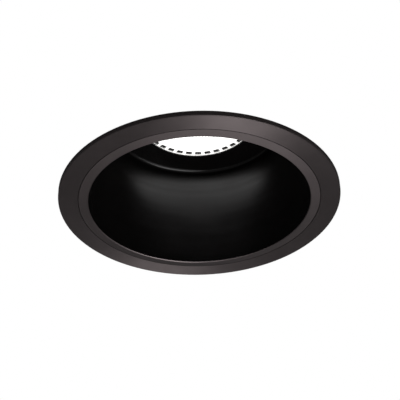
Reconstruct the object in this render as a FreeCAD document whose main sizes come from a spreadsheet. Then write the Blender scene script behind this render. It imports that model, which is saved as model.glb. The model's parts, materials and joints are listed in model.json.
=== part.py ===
import FreeCAD, Part
import math
import os
import re

import Sketcher
from FreeCAD import Placement, Rotation, Vector

# Recessed soffit downlight, in millimetres.
# Z = 0 is the underside of the soffit, which the gasket presses against. The black face
# looks down, the collar and everything above it stand in the void over the cut-out.

SIZES = {
    # Trim ring: flat turned face outside, collar and ledge behind it.
    "outer_radius": 70.0,
    "flange_thickness": 3.0,
    "flange_edge": 0.3,
    "collar_inset": 2.0,
    "collar_wall": 3.0,
    "collar_height": 14.0,
    "trim_screw_level": 9.6,
    "trim_screw_length": 5.0,
    "ledge_thickness": 2.5,
    "ledge_clearance": 0.8,
    # Soffit gasket, half sunk in the back of the flange.
    "gasket_inset": 2.0,
    "gasket_width": 4.5,
    "gasket_thickness": 2.0,
    "gasket_sink": 1.0,
    # Baffle: the deep black cone, its lip flush with the face.
    "lip_cover": 1.5,
    "lip_thickness": 2.0,
    "lip_edge": 0.3,
    "lip_rise": 0.65,
    "seam_gap": 0.35,
    "lip_width": 4.75,
    "baffle_depth": 53.7,
    "baffle_room": 3.5,
    "baffle_wall": 1.2,
    "baffle_curve": 330.0,
    "baffle_bend": 2.5,
    "leaf_width": 8.0,
    "leaf_thickness": 0.4,
    "leaf_start": 7.5,
    "leaf_foot": 4.5,
    "leaf_bow": 5.0,
    "leaf_tail": 4.0,
    # Lens, its bezel and the holder between bezel and heat sink.
    "bezel_radius": 30.0,
    "bezel_wall": 0.7,
    "bezel_reach": 1.6,
    "bezel_depth": 1.6,
    "bezel_clearance": 0.5,
    "bezel_flange": 2.5,
    "lens_clearance": 0.2,
    "lens_rim": 1.7,
    "lens_seal_thickness": 0.6,
    "lens_shoulder": 2.4,
    "lens_length": 16.9,
    "lens_throat": 8.5,
    "lens_curve": 40.0,
    "lens_hollow_radius": 6.2,
    "lens_hollow_top": 5.0,
    "lens_hollow_depth": 6.0,
    "lens_notch_count": 36.0,
    "lens_notch_width": 3.3,
    "lens_notch_depth": 1.0,
    "holder_room": 0.3,
    "holder_wall": 5.9,
    "holder_length": 18.3,
    "lens_screw_length": 24.0,
    # Light source.
    "board_radius": 21.0,
    "board_thickness": 1.6,
    "pad_thickness": 0.3,
    "chip_width": 15.0,
    "chip_thickness": 1.0,
    "phosphor_radius": 5.6,
    "phosphor_thickness": 0.6,
    "solder_length": 3.0,
    "solder_width": 1.6,
    "solder_thickness": 1.8,
    "solder_reach": 17.0,
    "lead_radius": 0.65,
    "lead_spacing": 1.8,
    "lead_place": 24.5,
    "lead_bend": 3.0,
    "lead_hole_radius": 2.0,
    "board_screw_circle": 16.5,
    "board_screw_length": 5.0,
    "grommet_radius": 3.2,
    "grommet_groove": 0.8,
    # Housing: skirt inside the collar, shoulder, cone and crown under the heat sink.
    "housing_wall": 2.0,
    "skirt_clearance": 0.1,
    "shoulder_start": 30.0,
    "shoulder_height": 6.0,
    "waist_room": 0.7,
    "crown_edge": 5.5,
    "crown_thickness": 4.0,
    "crown_room": 3.8,
    "seal_inset": 1.2,
    "seal_width": 1.8,
    "seal_sink": 1.0,
    # Heat sink.
    "sink_step": 0.5,
    "sink_base": 5.0,
    "sink_skin": 1.0,
    "core_radius": 16.0,
    "fin_count": 24.0,
    "fin_thickness": 1.6,
    "fin_height": 21.0,
    "fin_inset": 0.5,
    "fin_corner": 4.0,
    "sink_screw_inset": 1.5,
    "sink_screw_length": 8.0,
    "case_screw_circle": 11.0,
    "case_screw_length": 8.0,
    # Driver case, its cover and gasket.
    "case_radius": 42.0,
    "case_wall": 2.5,
    "case_height": 24.0,
    "case_gasket_thickness": 1.0,
    "cover_thickness": 3.0,
    "cover_crown": 1.6,
    "cover_crown_radius": 29.0,
    "cover_edge": 1.0,
    "boss_radius": 3.4,
    "boss_circle": 36.6,
    "cover_screw_length": 12.0,
    "post_screw_length": 6.0,
    "post_radius": 3.0,
    "post_circle": 28.0,
    "post_height": 5.5,
    # Driver board and what stands on it.
    "driver_radius": 32.5,
    "driver_thickness": 1.6,
    "terminal_width": 18.0,
    "terminal_depth": 9.0,
    "terminal_height": 11.0,
    "terminal_place": 25.5,
    "terminal_pitch": 5.6,
    "terminal_hole": 1.8,
    "terminal_entry_level": 3.85,
    "terminal_entry_depth": 6.3,
    "terminal_well": 4.4,
    "terminal_screw_length": 2.75,
    "terminal_slot_width": 0.6,
    "terminal_slot_depth": 0.8,
    "core_length": 18.0,
    "core_width": 14.0,
    "core_height": 12.0,
    "core_window": 4.0,
    "core_yoke": 2.4,
    "winding_reach": 3.2,
    "transformer_across": -12.0,
    "transformer_along": -4.0,
    "capacitor_across": 7.5,
    "capacitor_along": -7.0,
    "choke_across": 9.0,
    "choke_along": 9.0,
    "capacitor_radius": 4.5,
    "capacitor_height": 12.0,
    "capacitor_edge": 0.75,
    "capacitor_gap": 2.0,
    "capacitor_turn": 25.0,
    "choke_radius": 5.5,
    "choke_bore": 2.4,
    "choke_height": 5.0,
    "choke_edge": 0.8,
    # Cable gland.
    "gland_level": 12.0,
    "gland_seat": 44.0,
    "gland_boss_width": 20.0,
    "gland_boss_depth": 6.5,
    "gland_thread": 6.0,
    "gland_bore": 4.3,
    "gland_hex": 15.0,
    "gland_hex_thickness": 4.0,
    "gland_washer": 1.0,
    "gland_tail": 11.0,
    "gland_sleeve": 5.0,
    "gland_sleeve_inset": 1.5,
    "gland_nut_length": 9.5,
    "gland_nut_face": 2.0,
    "gland_nut_nose": 5.7,
    "gland_nut_dome": 3.3,
    "locknut_thickness": 3.0,
    "cable_radius": 3.3,
    # Spring clips at both sides.
    "pad_proud": 0.15,
    "pad_width": 19.0,
    "pad_length": 20.0,
    "pin_level": 50.0,
    "pin_standoff": 3.2,
    "pin_radius": 1.5,
    "pin_clearance": 0.08,
    "pin_head": 2.5,
    "pin_head_thickness": 1.0,
    "pin_groove": 1.1,
    "pin_clip_radius": 2.6,
    "pin_clip_thickness": 0.5,
    "pin_clip_mouth": 1.8,
    "bracket_thickness": 1.2,
    "bracket_width": 17.0,
    "bracket_length": 19.0,
    "bracket_screw_spacing": 13.6,
    "bracket_screw_length": 4.5,
    "ear_radius": 2.9,
    "ear_foot": 5.5,
    "stop_start": 0.2,
    "stop_length": 2.3,
    "stop_width": 1.4,
    "stop_clearance": 0.05,
    "arm_width": 14.0,
    "arm_thickness": 1.0,
    "arm_flange": 2.8,
    "arm_window": 16.0,
    "arm_taper_end": 27.0,
    "arm_tip_width": 10.0,
    "arm_length": 55.0,
    "arm_rib_width": 2.4,
    "arm_rib_height": 0.6,
    "foot_radius": 3.0,
    "foot_length": 12.0,
    "foot_width": 15.0,
    "foot_heel": 2.1,
    "foot_edge": 0.8,
    "foot_grip": 7.0,
    "foot_clearance": 3.0,
    "spring_wire": 0.9,
    "spring_radius": 2.45,
    "spring_pitch": 1.5,
    "spring_turns": 4.0,
    "spring_fixed_leg": 8.5,
    "spring_moving_leg": 13.5,
    # Fasteners, and the clearances shared by all the parts.
    "screw_radius": 1.5,
    "screw_head": 2.75,
    "screw_head_height": 2.0,
    "screw_head_edge": 0.5,
    "screw_socket": 2.0,
    "screw_socket_depth": 1.2,
    "small_screw_radius": 1.25,
    "small_screw_head": 2.3,
    "screw_clearance": 0.1,
    "side_clearance": 0.3,
    "seat_clearance": 0.05,
}

# Places and lengths that follow from the sizes, written as formulas of the cells.
PLACES = {
    "gasket_radius": "outer_radius - gasket_inset",
    "gasket_bore": "gasket_radius - gasket_width",
    "collar_radius": "gasket_bore - collar_inset",
    "lip_radius": "collar_radius - lip_cover",
    "opening_radius": "lip_radius - lip_width",
    "flange_back": "gasket_sink - gasket_thickness",
    "face": "flange_back - flange_thickness",
    "lip_back": "face + lip_thickness",
    "lip_front": "face - lip_rise",
    "skirt_foot": "lip_back + ledge_thickness",
    "collar_top": "flange_back + collar_height",
    "collar_bore": "collar_radius - collar_wall",
    "recess_radius": "lip_radius + seam_gap",
    "wall_fall": "opening_radius - baffle_top_radius",
    "wall_height": "baffle_depth + lip_rise",
    "wall_chord": "sqrt(wall_fall^2 + wall_height^2)",
    "curve_arm": "sqrt(baffle_curve^2 - wall_chord^2 / 4)",
    "curve_across": "opening_radius - wall_fall / 2 - curve_arm * wall_height / wall_chord",
    "curve_level": "lip_front + wall_height / 2 - curve_arm * wall_fall / wall_chord",
    "outer_curve": "baffle_curve + baffle_wall",
    "baffle_top": "face + baffle_depth",
    "baffle_hole": "bezel_radius + bezel_clearance",
    "lens_front": "baffle_top - bezel_reach",
    "lens_face": "lens_front + bezel_depth",
    "lens_rim_back": "lens_face + lens_rim",
    "lens_seat": "lens_rim_back + lens_seal_thickness",
    "lens_radius": "bezel_radius - bezel_wall - lens_clearance",
    "bezel_bore": "bezel_radius - bezel_wall",
    "holder_bore": "bezel_radius + holder_room",
    "holder_radius": "holder_bore + holder_wall",
    "lens_screw_circle": "holder_bore + holder_wall / 2",
    "crown_bore": "holder_radius + crown_room",
    "seal_radius": "crown_bore + seal_inset + seal_width",
    "sink_screw_circle": "seal_radius + sink_screw_inset",
    "crown_radius": "sink_screw_circle + crown_edge",
    "sink_radius": "crown_radius - sink_step",
    "baffle_top_radius": "crown_radius - baffle_room",
    "bezel_shoulder": "bezel_bore - lens_shoulder",
    "bezel_flange_front": "baffle_top + baffle_wall + side_clearance",
    "bezel_back": "bezel_flange_front + bezel_flange",
    "sink_level": "bezel_back + holder_length",
    "board_back": "sink_level - pad_thickness",
    "board_front": "board_back - board_thickness",
    "chip_front": "board_front - chip_thickness",
    "skirt_radius": "collar_bore - skirt_clearance",
    "skirt_bore": "skirt_radius - housing_wall",
    "shoulder_end": "shoulder_start + shoulder_height",
    "waist_drop": "shoulder_end - curve_level",
    "baffle_at_waist": "curve_across + sqrt(outer_curve^2 - waist_drop^2)",
    "waist_radius": "baffle_at_waist + waist_room + housing_wall",
    "cone_slope": "(waist_radius - crown_radius) / (sink_level - shoulder_end)",
    "pad_low": "pin_level - pad_length / 2",
    "pad_face": "waist_radius - cone_slope * (pad_low - shoulder_end) + pad_proud",
    "fin_foot": "sink_level + sink_base",
    "case_level": "fin_foot + fin_height",
    "case_floor": "case_level + case_wall",
    "case_top": "case_level + case_height",
    "cover_level": "case_top + case_gasket_thickness",
    "post_top": "case_floor + post_height",
    "driver_top": "post_top + driver_thickness",
    "sink_screw_reach": "sink_screw_circle * cos(45)",
    "boss_reach": "boss_circle * cos(45)",
    "gland_axis": "case_floor + gland_level",
    "window_low": "driver_top + core_yoke",
    "window_high": "driver_top + core_height - core_yoke",
    "nut_start": "gland_washer + gland_hex_thickness + seat_clearance",
    "nut_end": "nut_start + gland_nut_length",
    "seal_start": "gland_washer + gland_hex_thickness / 2",
    "sleeve_end": "nut_end - gland_nut_face - gland_sleeve_inset",
    "pin_reach": "pad_face + bracket_thickness + pin_standoff",
    "ear_gap": "arm_width / 2 + side_clearance",
    "foot_drop": "pin_level - foot_radius - foot_clearance",
    "rest_angle": "asin(foot_drop / (arm_length - foot_radius)) / (1 deg)",
    "web_end": "arm_length - foot_length + foot_grip",
}

# Where the repeated pieces stand round the Z axis, in degrees from X.
SCREW_ANGLES = (90, 210, 330)
BOARD_SCREW_ANGLES = (90, 270)
LEAF_ANGLES = (30, 150, 270)
POST_ANGLES = (30, 150, 270)
BOSS_ANGLES = (45, 135, 225, 315)
SIDES = {"right": 0, "left": 180}

doc = FreeCAD.newDocument("soffit_downlight")
sheet = doc.addObject("Spreadsheet::Sheet", "Size")
for row, (alias, size) in enumerate(SIZES.items(), start=1):
    sheet.set(f"A{row}", alias.replace("_", " "))
    sheet.set(f"B{row}", str(size))
    sheet.setAlias(f"B{row}", alias)
doc.recompute()

kept = []


def formula(text):
    """A formula of cells and places, written out for the expression engine."""

    def written(found):
        word = found.group()
        if word in SIZES:
            return "Size." + word
        if word in PLACES:
            return "(" + formula(PLACES[word]) + ")"
        return word

    return re.sub(r"[a-z][a-z_]*", written, text)


def number(text):
    """The value of a formula, in millimetres, degrees or a count."""
    return float(sheet.evalExpression(formula(text)))


def wall_outside(level):
    """Formula of the radius of the baffle's curved outer wall at a level."""
    return f"(curve_across + sqrt(outer_curve^2 - ({level} - curve_level)^2))"


# ---- Sketches and features -------------------------------------------------------------


def placed(body, across, along):
    """Move a body made on the origin to its place on the plan."""
    body.setExpression("Placement.Base.x", formula(across))
    body.setExpression("Placement.Base.y", formula(along))
    doc.recompute()


def new_body(label, keep=True):
    """A body whose label is the name of its piece."""
    body = doc.addObject("PartDesign::Body", label)
    body.Label = label
    if keep:
        kept.append(body)
    return body


def origin_feature(body, role):
    return next(item for item in body.Origin.OriginFeatures if item.Role == role)


def sketch_on(body, plane, offset="0"):
    """An empty sketch on an origin plane of the body, moved along the plane's normal."""
    sketch = body.newObject("Sketcher::SketchObject", "Sketch")
    sketch.AttachmentSupport = [(origin_feature(body, plane), "")]
    sketch.MapMode = "FlatFace"
    if offset != "0":
        sketch.setExpression("AttachmentOffset.Base.z", formula(offset))
    return sketch


def bind(sketch, kind, geometry, point, text):
    """Fix one coordinate of a point of the sketch to a formula."""
    value = number(text)
    if abs(value) < 1e-9:
        axis = -2 if kind == "DistanceX" else -1
        sketch.addConstraint(Sketcher.Constraint("PointOnObject", geometry, point, axis))
        return
    index = sketch.addConstraint(Sketcher.Constraint(kind, -1, 1, geometry, point, value))
    sketch.setExpression(f"Constraints[{index}]", formula(text))


def add_circle(sketch, across, along, radius):
    centre = Vector(number(across), number(along), 0)
    shape = Part.Circle(centre, Vector(0, 0, 1), number(radius))
    geometry = sketch.addGeometry(shape, False)
    bind(sketch, "DistanceX", geometry, 3, across)
    bind(sketch, "DistanceY", geometry, 3, along)
    index = sketch.addConstraint(Sketcher.Constraint("Radius", geometry, number(radius)))
    sketch.setExpression(f"Constraints[{index}]", formula(radius))


def add_outline(sketch, points):
    """A closed outline. A third item in a point is the radius of an arc to the next one,
    positive when the arc's centre is on the left of the way there."""
    corners = [Vector(number(point[0]), number(point[1]), 0) for point in points]
    sides = []
    for place, point in enumerate(points):
        start = corners[place]
        end = corners[(place + 1) % len(points)]
        if len(point) == 2:
            geometry = sketch.addGeometry(Part.LineSegment(start, end), False)
            sides.append((geometry, 1, 2))
            continue
        radius = number(point[2])
        chord = end - start
        left = Vector(-chord.y, chord.x, 0).normalize()
        rise = math.sqrt(max(radius**2 - chord.Length**2 / 4, 0))
        centre = (start + end) * 0.5 + left * math.copysign(rise, radius)
        first, last = (start, end) if radius > 0 else (end, start)
        begin = math.atan2(first.y - centre.y, first.x - centre.x)
        finish = math.atan2(last.y - centre.y, last.x - centre.x)
        if finish < begin:
            finish += 2 * math.pi
        circle = Part.Circle(centre, Vector(0, 0, 1), abs(radius))
        geometry = sketch.addGeometry(Part.ArcOfCircle(circle, begin, finish), False)
        if rise < 1e-6:
            half_turn = Sketcher.Constraint("Symmetric", geometry, 1, geometry, 2, geometry, 3)
            sketch.addConstraint(half_turn)
        else:
            index = sketch.addConstraint(Sketcher.Constraint("Radius", geometry, abs(radius)))
            sketch.setExpression(f"Constraints[{index}]", formula(f"abs({point[2]})"))
        sides.append((geometry, 1, 2) if radius > 0 else (geometry, 2, 1))
    for place, (geometry, _, end) in enumerate(sides):
        following, start, _ = sides[(place + 1) % len(sides)]
        joint = Sketcher.Constraint("Coincident", geometry, end, following, start)
        sketch.addConstraint(joint)
    for (geometry, start, _), point in zip(sides, points):
        bind(sketch, "DistanceX", geometry, start, point[0])
        bind(sketch, "DistanceY", geometry, start, point[1])


def add_rectangle(sketch, left, bottom, right, top):
    add_outline(sketch, [(left, bottom), (right, bottom), (right, top), (left, top)])


def add_hexagon(sketch, across, along, width):
    """A hexagon given by its width across flats."""
    corners = []
    for corner in range(6):
        angle = 60 * corner + 30
        reach = f"({width}) / 2 / cos(30)"
        corners.append((f"{across} + {reach} * cos({angle})", f"{along} + {reach} * sin({angle})"))
    add_outline(sketch, corners)


def finished(body, feature):
    """Compute a feature and make it the body's result."""
    body.Tip = feature
    doc.recompute()
    return feature


def pad(body, sketch, length, both_ways=False):
    feature = body.newObject("PartDesign::Pad", "Pad")
    feature.Profile = sketch
    feature.setExpression("Length", formula(length))
    if both_ways:
        feature.SideType = "Symmetric"
    return finished(body, feature)


def pocket(body, sketch, length, both_ways=False, along_normal=False):
    """Cut against the sketch's normal, along it, or to both sides."""
    before = body.Shape.Volume
    feature = body.newObject("PartDesign::Pocket", "Pocket")
    feature.Profile = sketch
    feature.setExpression("Length", formula(length))
    feature.Reversed = along_normal
    if both_ways:
        feature.SideType = "Symmetric"
    finished(body, feature)
    if body.Shape.Volume >= before:
        raise ValueError(f"{body.Label}: a pocket cuts nothing")
    return feature


def turned(body, sketch, cut=False):
    """Revolve a sketch of the XZ plane about the Z axis, as metal or as a cut."""
    kind = "PartDesign::Groove" if cut else "PartDesign::Revolution"
    before = body.Shape.Volume if cut else 0
    feature = body.newObject(kind, "Turned")
    feature.Profile = sketch
    feature.ReferenceAxis = (sketch, ["V_Axis"])
    feature.Angle = 360
    finished(body, feature)
    if cut and body.Shape.Volume >= before:
        raise ValueError(f"{body.Label}: a groove cuts nothing")
    return feature


def repeated(body, feature, count):
    """Copies of a feature all round the Z axis."""
    pattern = body.newObject("PartDesign::PolarPattern", "Around")
    pattern.Originals = [feature]
    pattern.Axis = (origin_feature(body, "Z_Axis"), [""])
    pattern.Angle = 360
    pattern.setExpression("Occurrences", formula(count))
    return finished(body, pattern)


def mirrored(body, feature, plane):
    pattern = body.newObject("PartDesign::Mirrored", "Mirrored")
    pattern.Originals = [feature]
    pattern.MirrorPlane = (origin_feature(body, plane), [""])
    return finished(body, pattern)


def cone_cut(body, mouth, inward, narrow, wide):
    """A 90 degree countersink whose wide end lies at the mouth."""
    before = body.Shape.Volume
    cone = body.newObject("PartDesign::SubtractiveCone", "Countersink")
    cone.setExpression("Radius1", formula(f"{wide} + screw_clearance"))
    cone.setExpression("Radius2", formula(f"{narrow} + screw_clearance"))
    cone.setExpression("Height", formula(f"{wide} - {narrow}"))
    cone.Placement = Placement(Vector(), Rotation(Vector(0, 0, 1), inward))
    for axis, place in zip("xyz", mouth):
        cone.setExpression("Placement.Base." + axis, formula(place))
    finished(body, cone)
    if body.Shape.Volume >= before:
        raise ValueError(f"{body.Label}: a countersink cuts nothing")
    return cone


def ring_edges(body, radius, level):
    """Names of the circular edges about the Z axis with this radius at this level."""
    names = []
    for place, edge in enumerate(body.Tip.Shape.Edges, start=1):
        if not isinstance(edge.Curve, Part.Circle):
            continue
        same_radius = abs(edge.Curve.Radius - number(radius)) < 1e-4
        if same_radius and abs(edge.Curve.Center.z - number(level)) < 1e-4:
            names.append(f"Edge{place}")
    return names


def side_edges(body, along):
    """Names of the edges that lie in the planes at this distance either side of XZ."""
    names = []
    for place, edge in enumerate(body.Tip.Shape.Edges, start=1):
        ends = [edge.valueAt(edge.FirstParameter), edge.valueAt(edge.LastParameter)]
        if all(abs(abs(end.y) - number(along)) < 1e-4 for end in ends):
            if abs(ends[0].y - ends[1].y) < 1e-4:
                names.append(f"Edge{place}")
    return names


def dressed(body, kind, edges, size):
    """A fillet or a chamfer on named edges of the body's last feature."""
    base = body.Tip
    feature = body.newObject("PartDesign::" + kind, kind)
    feature.Base = (base, edges)
    feature.setExpression("Radius" if kind == "Fillet" else "Size", formula(size))
    return finished(body, feature)


def ring(label, outer, inner, bottom, top):
    """A flat ring, such as a gasket or a washer."""
    body = new_body(label)
    sketch = sketch_on(body, "XZ_Plane")
    add_rectangle(sketch, inner, bottom, outer, top)
    turned(body, sketch)
    return body


def copies(label, model, placements):
    """Identical pieces in one group of separate solids."""
    group = doc.addObject("Part::Feature", label)
    group.Label = label
    solids = []
    for placement in placements:
        solid = model.Shape.copy()
        solid.Placement = placement.multiply(solid.Placement)
        solids.append(solid)
    group.Shape = Part.makeCompound(solids)
    kept.append(group)
    return group


def around(angles, radius, level, direction=Vector(0, 0, 1)):
    """Placements on a circle, their Z axis turned to a direction."""
    places = []
    turn = Rotation(Vector(0, 0, 1), direction)
    for angle in angles:
        spot = Rotation(Vector(0, 0, 1), angle).multVec(Vector(radius, 0, level))
        places.append(Placement(spot, turn))
    return places


def turned_places(angles):
    """Placements that turn a piece about the Z axis of the fixture."""
    return [Placement(Vector(), Rotation(Vector(0, 0, 1), angle)) for angle in angles]


def screw(name, length, small=False, sunk=False):
    """A screw with its head up. Its head's seat, or a sunk head's top, is at Z = 0."""
    body = new_body(name, keep=False)
    shank = "small_screw_radius" if small else "screw_radius"
    head = "small_screw_head" if small else "screw_head"
    tip = [("0", f"-({length})"), (shank, f"-({length})")]
    if sunk:
        crown = [(shank, f"{shank} - {head}"), (head, "0"), ("0", "0")]
        top = "0"
    else:
        top = "screw_head_height"
        crown = [(shank, "0"), (head, "0"), (head, f"{top} - screw_head_edge")]
        crown += [(f"{head} - screw_head_edge", top), ("0", top)]
    sketch = sketch_on(body, "XZ_Plane")
    add_outline(sketch, tip + crown)
    turned(body, sketch)
    socket = sketch_on(body, "XY_Plane", top)
    add_hexagon(socket, "0", "0", "screw_socket")
    pocket(body, socket, "screw_socket_depth")
    return body


# ---- Trim ring, gasket and baffle ------------------------------------------------------


def trim_ring():
    body = new_body("trim_ring")
    sketch = sketch_on(body, "XZ_Plane")
    ledge = wall_outside("lip_back") + " + ledge_clearance"
    add_outline(sketch, [
        ("outer_radius", "face"),
        ("outer_radius", "flange_back"),
        ("gasket_radius", "flange_back"),
        ("gasket_radius", "flange_back - gasket_sink"),
        ("gasket_bore", "flange_back - gasket_sink"),
        ("gasket_bore", "flange_back"),
        ("collar_radius", "flange_back"),
        ("collar_radius", "collar_top"),
        ("collar_bore", "collar_top"),
        ("collar_bore", "skirt_foot"),
        (ledge, "skirt_foot"),
        (ledge, "lip_back"),
        ("recess_radius", "lip_back"),
        ("recess_radius", "face"),
    ])
    turned(body, sketch)
    edges = ring_edges(body, "outer_radius", "face")
    edges += ring_edges(body, "outer_radius", "flange_back")
    dressed(body, "Chamfer", edges, "flange_edge")
    # Countersunk holes for the three screws that hold the housing's skirt.
    hole = sketch_on(body, "XZ_Plane", "-collar_radius")
    add_circle(hole, "0", "trim_screw_level", "screw_radius + screw_clearance")
    radial = pocket(body, hole, "collar_wall + screw_clearance", along_normal=True)
    repeated(body, radial, str(len(SCREW_ANGLES)))
    mouth = ("0", "collar_radius", "trim_screw_level")
    sink = cone_cut(body, mouth, Vector(0, -1, 0), "screw_radius", "screw_head")
    repeated(body, sink, str(len(SCREW_ANGLES)))
    return body


def soffit_gasket():
    inner = "gasket_bore + seat_clearance"
    foot = "flange_back - gasket_sink"
    return ring("soffit_gasket", "gasket_radius - seat_clearance", inner, foot, "0")


def baffle():
    body = new_body("baffle")
    sketch = sketch_on(body, "XZ_Plane")
    back = "baffle_top + baffle_wall"
    add_outline(sketch, [
        ("opening_radius", "lip_front"),
        ("lip_radius", "face"),
        ("lip_radius", "lip_back"),
        (wall_outside("lip_back"), "lip_back", "outer_curve"),
        (wall_outside(back), back),
        ("baffle_hole", back),
        ("baffle_hole", "baffle_top"),
        ("baffle_top_radius", "baffle_top", "-baffle_curve"),
    ])
    turned(body, sketch)
    dressed(body, "Fillet", ring_edges(body, "baffle_top_radius", "baffle_top"), "baffle_bend")
    outside = ring_edges(body, wall_outside(back), back)
    dressed(body, "Chamfer", outside, "baffle_bend")
    dressed(body, "Chamfer", ring_edges(body, "opening_radius", "lip_front"), "lip_edge")
    return body


def baffle_leaf():
    """A bent leaf on the baffle's wall that grips the housing's skirt."""
    body = new_body("leaf", keep=False)
    sketch = sketch_on(body, "XZ_Plane")
    foot_top = "leaf_start + leaf_foot"
    bow = foot_top + " + leaf_bow"
    tail = bow + " + leaf_tail"
    touch = "skirt_bore - side_clearance"
    thick = "leaf_thickness"
    slope_start = wall_outside("leaf_start") + " + seat_clearance"
    slope_end = wall_outside(foot_top) + " + seat_clearance"
    add_outline(sketch, [
        (slope_start, "leaf_start"),
        (f"{slope_start} + {thick}", "leaf_start"),
        (f"{slope_end} + {thick}", foot_top),
        (touch, bow),
        (f"{touch} - {thick}", tail),
        (f"{touch} - 2 * {thick}", tail),
        (f"{touch} - {thick}", bow),
        (slope_end, f"{foot_top} + {thick}"),
    ])
    pad(body, sketch, "leaf_width", both_ways=True)
    return body


# ---- Lens, bezel and holder ------------------------------------------------------------


def lens():
    """A collimating lens: rim, flank that narrows to the throat, hollow over the chip."""
    body = new_body("lens")
    sketch = sketch_on(body, "XZ_Plane")
    throat = "lens_rim_back + lens_length"
    flank = "bezel_shoulder - lens_clearance"
    add_outline(sketch, [
        ("0", "lens_face"),
        ("lens_radius", "lens_face"),
        ("lens_radius", "lens_rim_back"),
        (flank, "lens_rim_back", "lens_curve"),
        ("lens_throat", throat),
        ("lens_hollow_radius", throat),
        ("lens_hollow_top", f"{throat} - lens_hollow_depth"),
        ("0", f"{throat} - lens_hollow_depth"),
    ])
    turned(body, sketch)
    notch = sketch_on(body, "XY_Plane", "lens_face")
    half = "lens_notch_width / 2"
    inner = "lens_radius - lens_notch_depth"
    add_rectangle(notch, inner, f"-{half}", "lens_radius + lens_notch_depth", half)
    cut = pocket(body, notch, "lens_rim", along_normal=True)
    repeated(body, cut, "lens_notch_count")
    return body


def lens_bezel():
    body = new_body("lens_bezel")
    sketch = sketch_on(body, "XZ_Plane")
    add_outline(sketch, [
        ("bezel_bore", "lens_front"),
        ("bezel_radius", "lens_front"),
        ("bezel_radius", "bezel_flange_front"),
        ("holder_radius", "bezel_flange_front"),
        ("holder_radius", "bezel_back"),
        ("bezel_shoulder", "bezel_back"),
        ("bezel_shoulder", "lens_seat"),
        ("bezel_bore", "lens_seat"),
    ])
    turned(body, sketch)
    hole = sketch_on(body, "XY_Plane", "bezel_flange_front")
    add_circle(hole, "0", "lens_screw_circle", "small_screw_radius + screw_clearance")
    cut = pocket(body, hole, "bezel_flange", along_normal=True)
    repeated(body, cut, str(len(SCREW_ANGLES)))
    mouth = ("0", "lens_screw_circle", "bezel_flange_front")
    sink = cone_cut(body, mouth, Vector(0, 0, 1), "small_screw_radius", "small_screw_head")
    repeated(body, sink, str(len(SCREW_ANGLES)))
    return body


def lens_seal():
    """Black ring behind the lens, with a tooth in each notch of its rim."""
    outer = "bezel_bore - lens_clearance"
    inner = "bezel_shoulder + lens_clearance / 2"
    body = ring("lens_seal", outer, inner, "lens_rim_back", "lens_seat")
    tooth = sketch_on(body, "XY_Plane", "lens_face")
    half = "(lens_notch_width / 2 - seat_clearance)"
    root = "lens_radius - lens_notch_depth + seat_clearance"
    add_rectangle(tooth, root, f"-{half}", "lens_radius - seat_clearance", half)
    grown = pad(body, tooth, "lens_rim + lens_seal_thickness")
    repeated(body, grown, "lens_notch_count")
    return body


def lens_holder():
    body = ring("lens_holder", "holder_radius", "holder_bore", "bezel_back", "sink_level")
    hole = sketch_on(body, "XY_Plane", "bezel_back")
    add_circle(hole, "0", "lens_screw_circle", "small_screw_radius + screw_clearance")
    cut = pocket(body, hole, "holder_length", along_normal=True)
    repeated(body, cut, str(len(SCREW_ANGLES)))
    return body


# ---- Light source and its leads --------------------------------------------------------


def thermal_pad():
    body = new_body("thermal_pad")
    sketch = sketch_on(body, "XY_Plane", "board_back")
    add_circle(sketch, "0", "0", "board_radius")
    pad(body, sketch, "pad_thickness")
    holes = board_screw_holes(body, "board_back")
    pocket(body, holes, "pad_thickness", along_normal=True)
    return body


def board_screw_holes(body, level):
    sketch = sketch_on(body, "XY_Plane", level)
    for side in ("", "-"):
        add_circle(sketch, "0", f"{side}board_screw_circle", "screw_radius + screw_clearance")
    return sketch


def led_board():
    """A metal-core disc with two solder blocks for the leads."""
    body = new_body("led_board")
    sketch = sketch_on(body, "XY_Plane", "board_front")
    add_circle(sketch, "0", "0", "board_radius")
    pad(body, sketch, "board_thickness")
    pocket(body, board_screw_holes(body, "board_front"), "board_thickness", along_normal=True)
    blocks = sketch_on(body, "XY_Plane", "board_front - solder_thickness")
    start = "solder_reach - solder_length"
    for side in ("", "-"):
        low = f"{side}lead_spacing / 2 - solder_width / 2"
        high = f"{side}lead_spacing / 2 + solder_width / 2"
        add_rectangle(blocks, start, low, "solder_reach", high)
    pad(body, blocks, "solder_thickness")
    return body


def led_chip():
    body = new_body("led_chip")
    sketch = sketch_on(body, "XY_Plane", "chip_front")
    half = "chip_width / 2"
    add_rectangle(sketch, f"-{half}", f"-{half}", half, half)
    pad(body, sketch, "chip_thickness")
    return body


def led_phosphor():
    body = new_body("led_phosphor")
    sketch = sketch_on(body, "XY_Plane", "chip_front - phosphor_thickness")
    add_circle(sketch, "0", "0", "phosphor_radius")
    pad(body, sketch, "phosphor_thickness")
    edge = ring_edges(body, "phosphor_radius", "chip_front - phosphor_thickness")
    dressed(body, "Chamfer", edge, "phosphor_thickness / 2")
    return body


def lead(label, side):
    """One insulated lead, from its solder block round one bend and up to the driver board."""
    level = number("board_front - solder_thickness / 2")
    across = number(f"{side}lead_spacing / 2")
    bend = number("lead_bend")
    corner = Vector(number("lead_place"), across, level)
    start = Vector(number("solder_reach"), across, level)
    end = Vector(corner.x, across, number("post_top"))
    before = corner - Vector(bend, 0, 0)
    after = corner + Vector(0, 0, bend)
    middle = corner + Vector(-1, 0, 1) * bend * (1 - math.sqrt(0.5))
    runs = [
        Part.LineSegment(start, before).toShape(),
        Part.Arc(before, middle, after).toShape(),
        Part.LineSegment(after, end).toShape(),
    ]
    piece = doc.addObject("Part::Feature", label)
    piece.Label = label
    piece.Shape = tube(Part.Wire(runs), number("lead_radius"))
    kept.append(piece)
    print(f"{label}: bend radius {bend:.1f} mm")
    return piece


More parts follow.
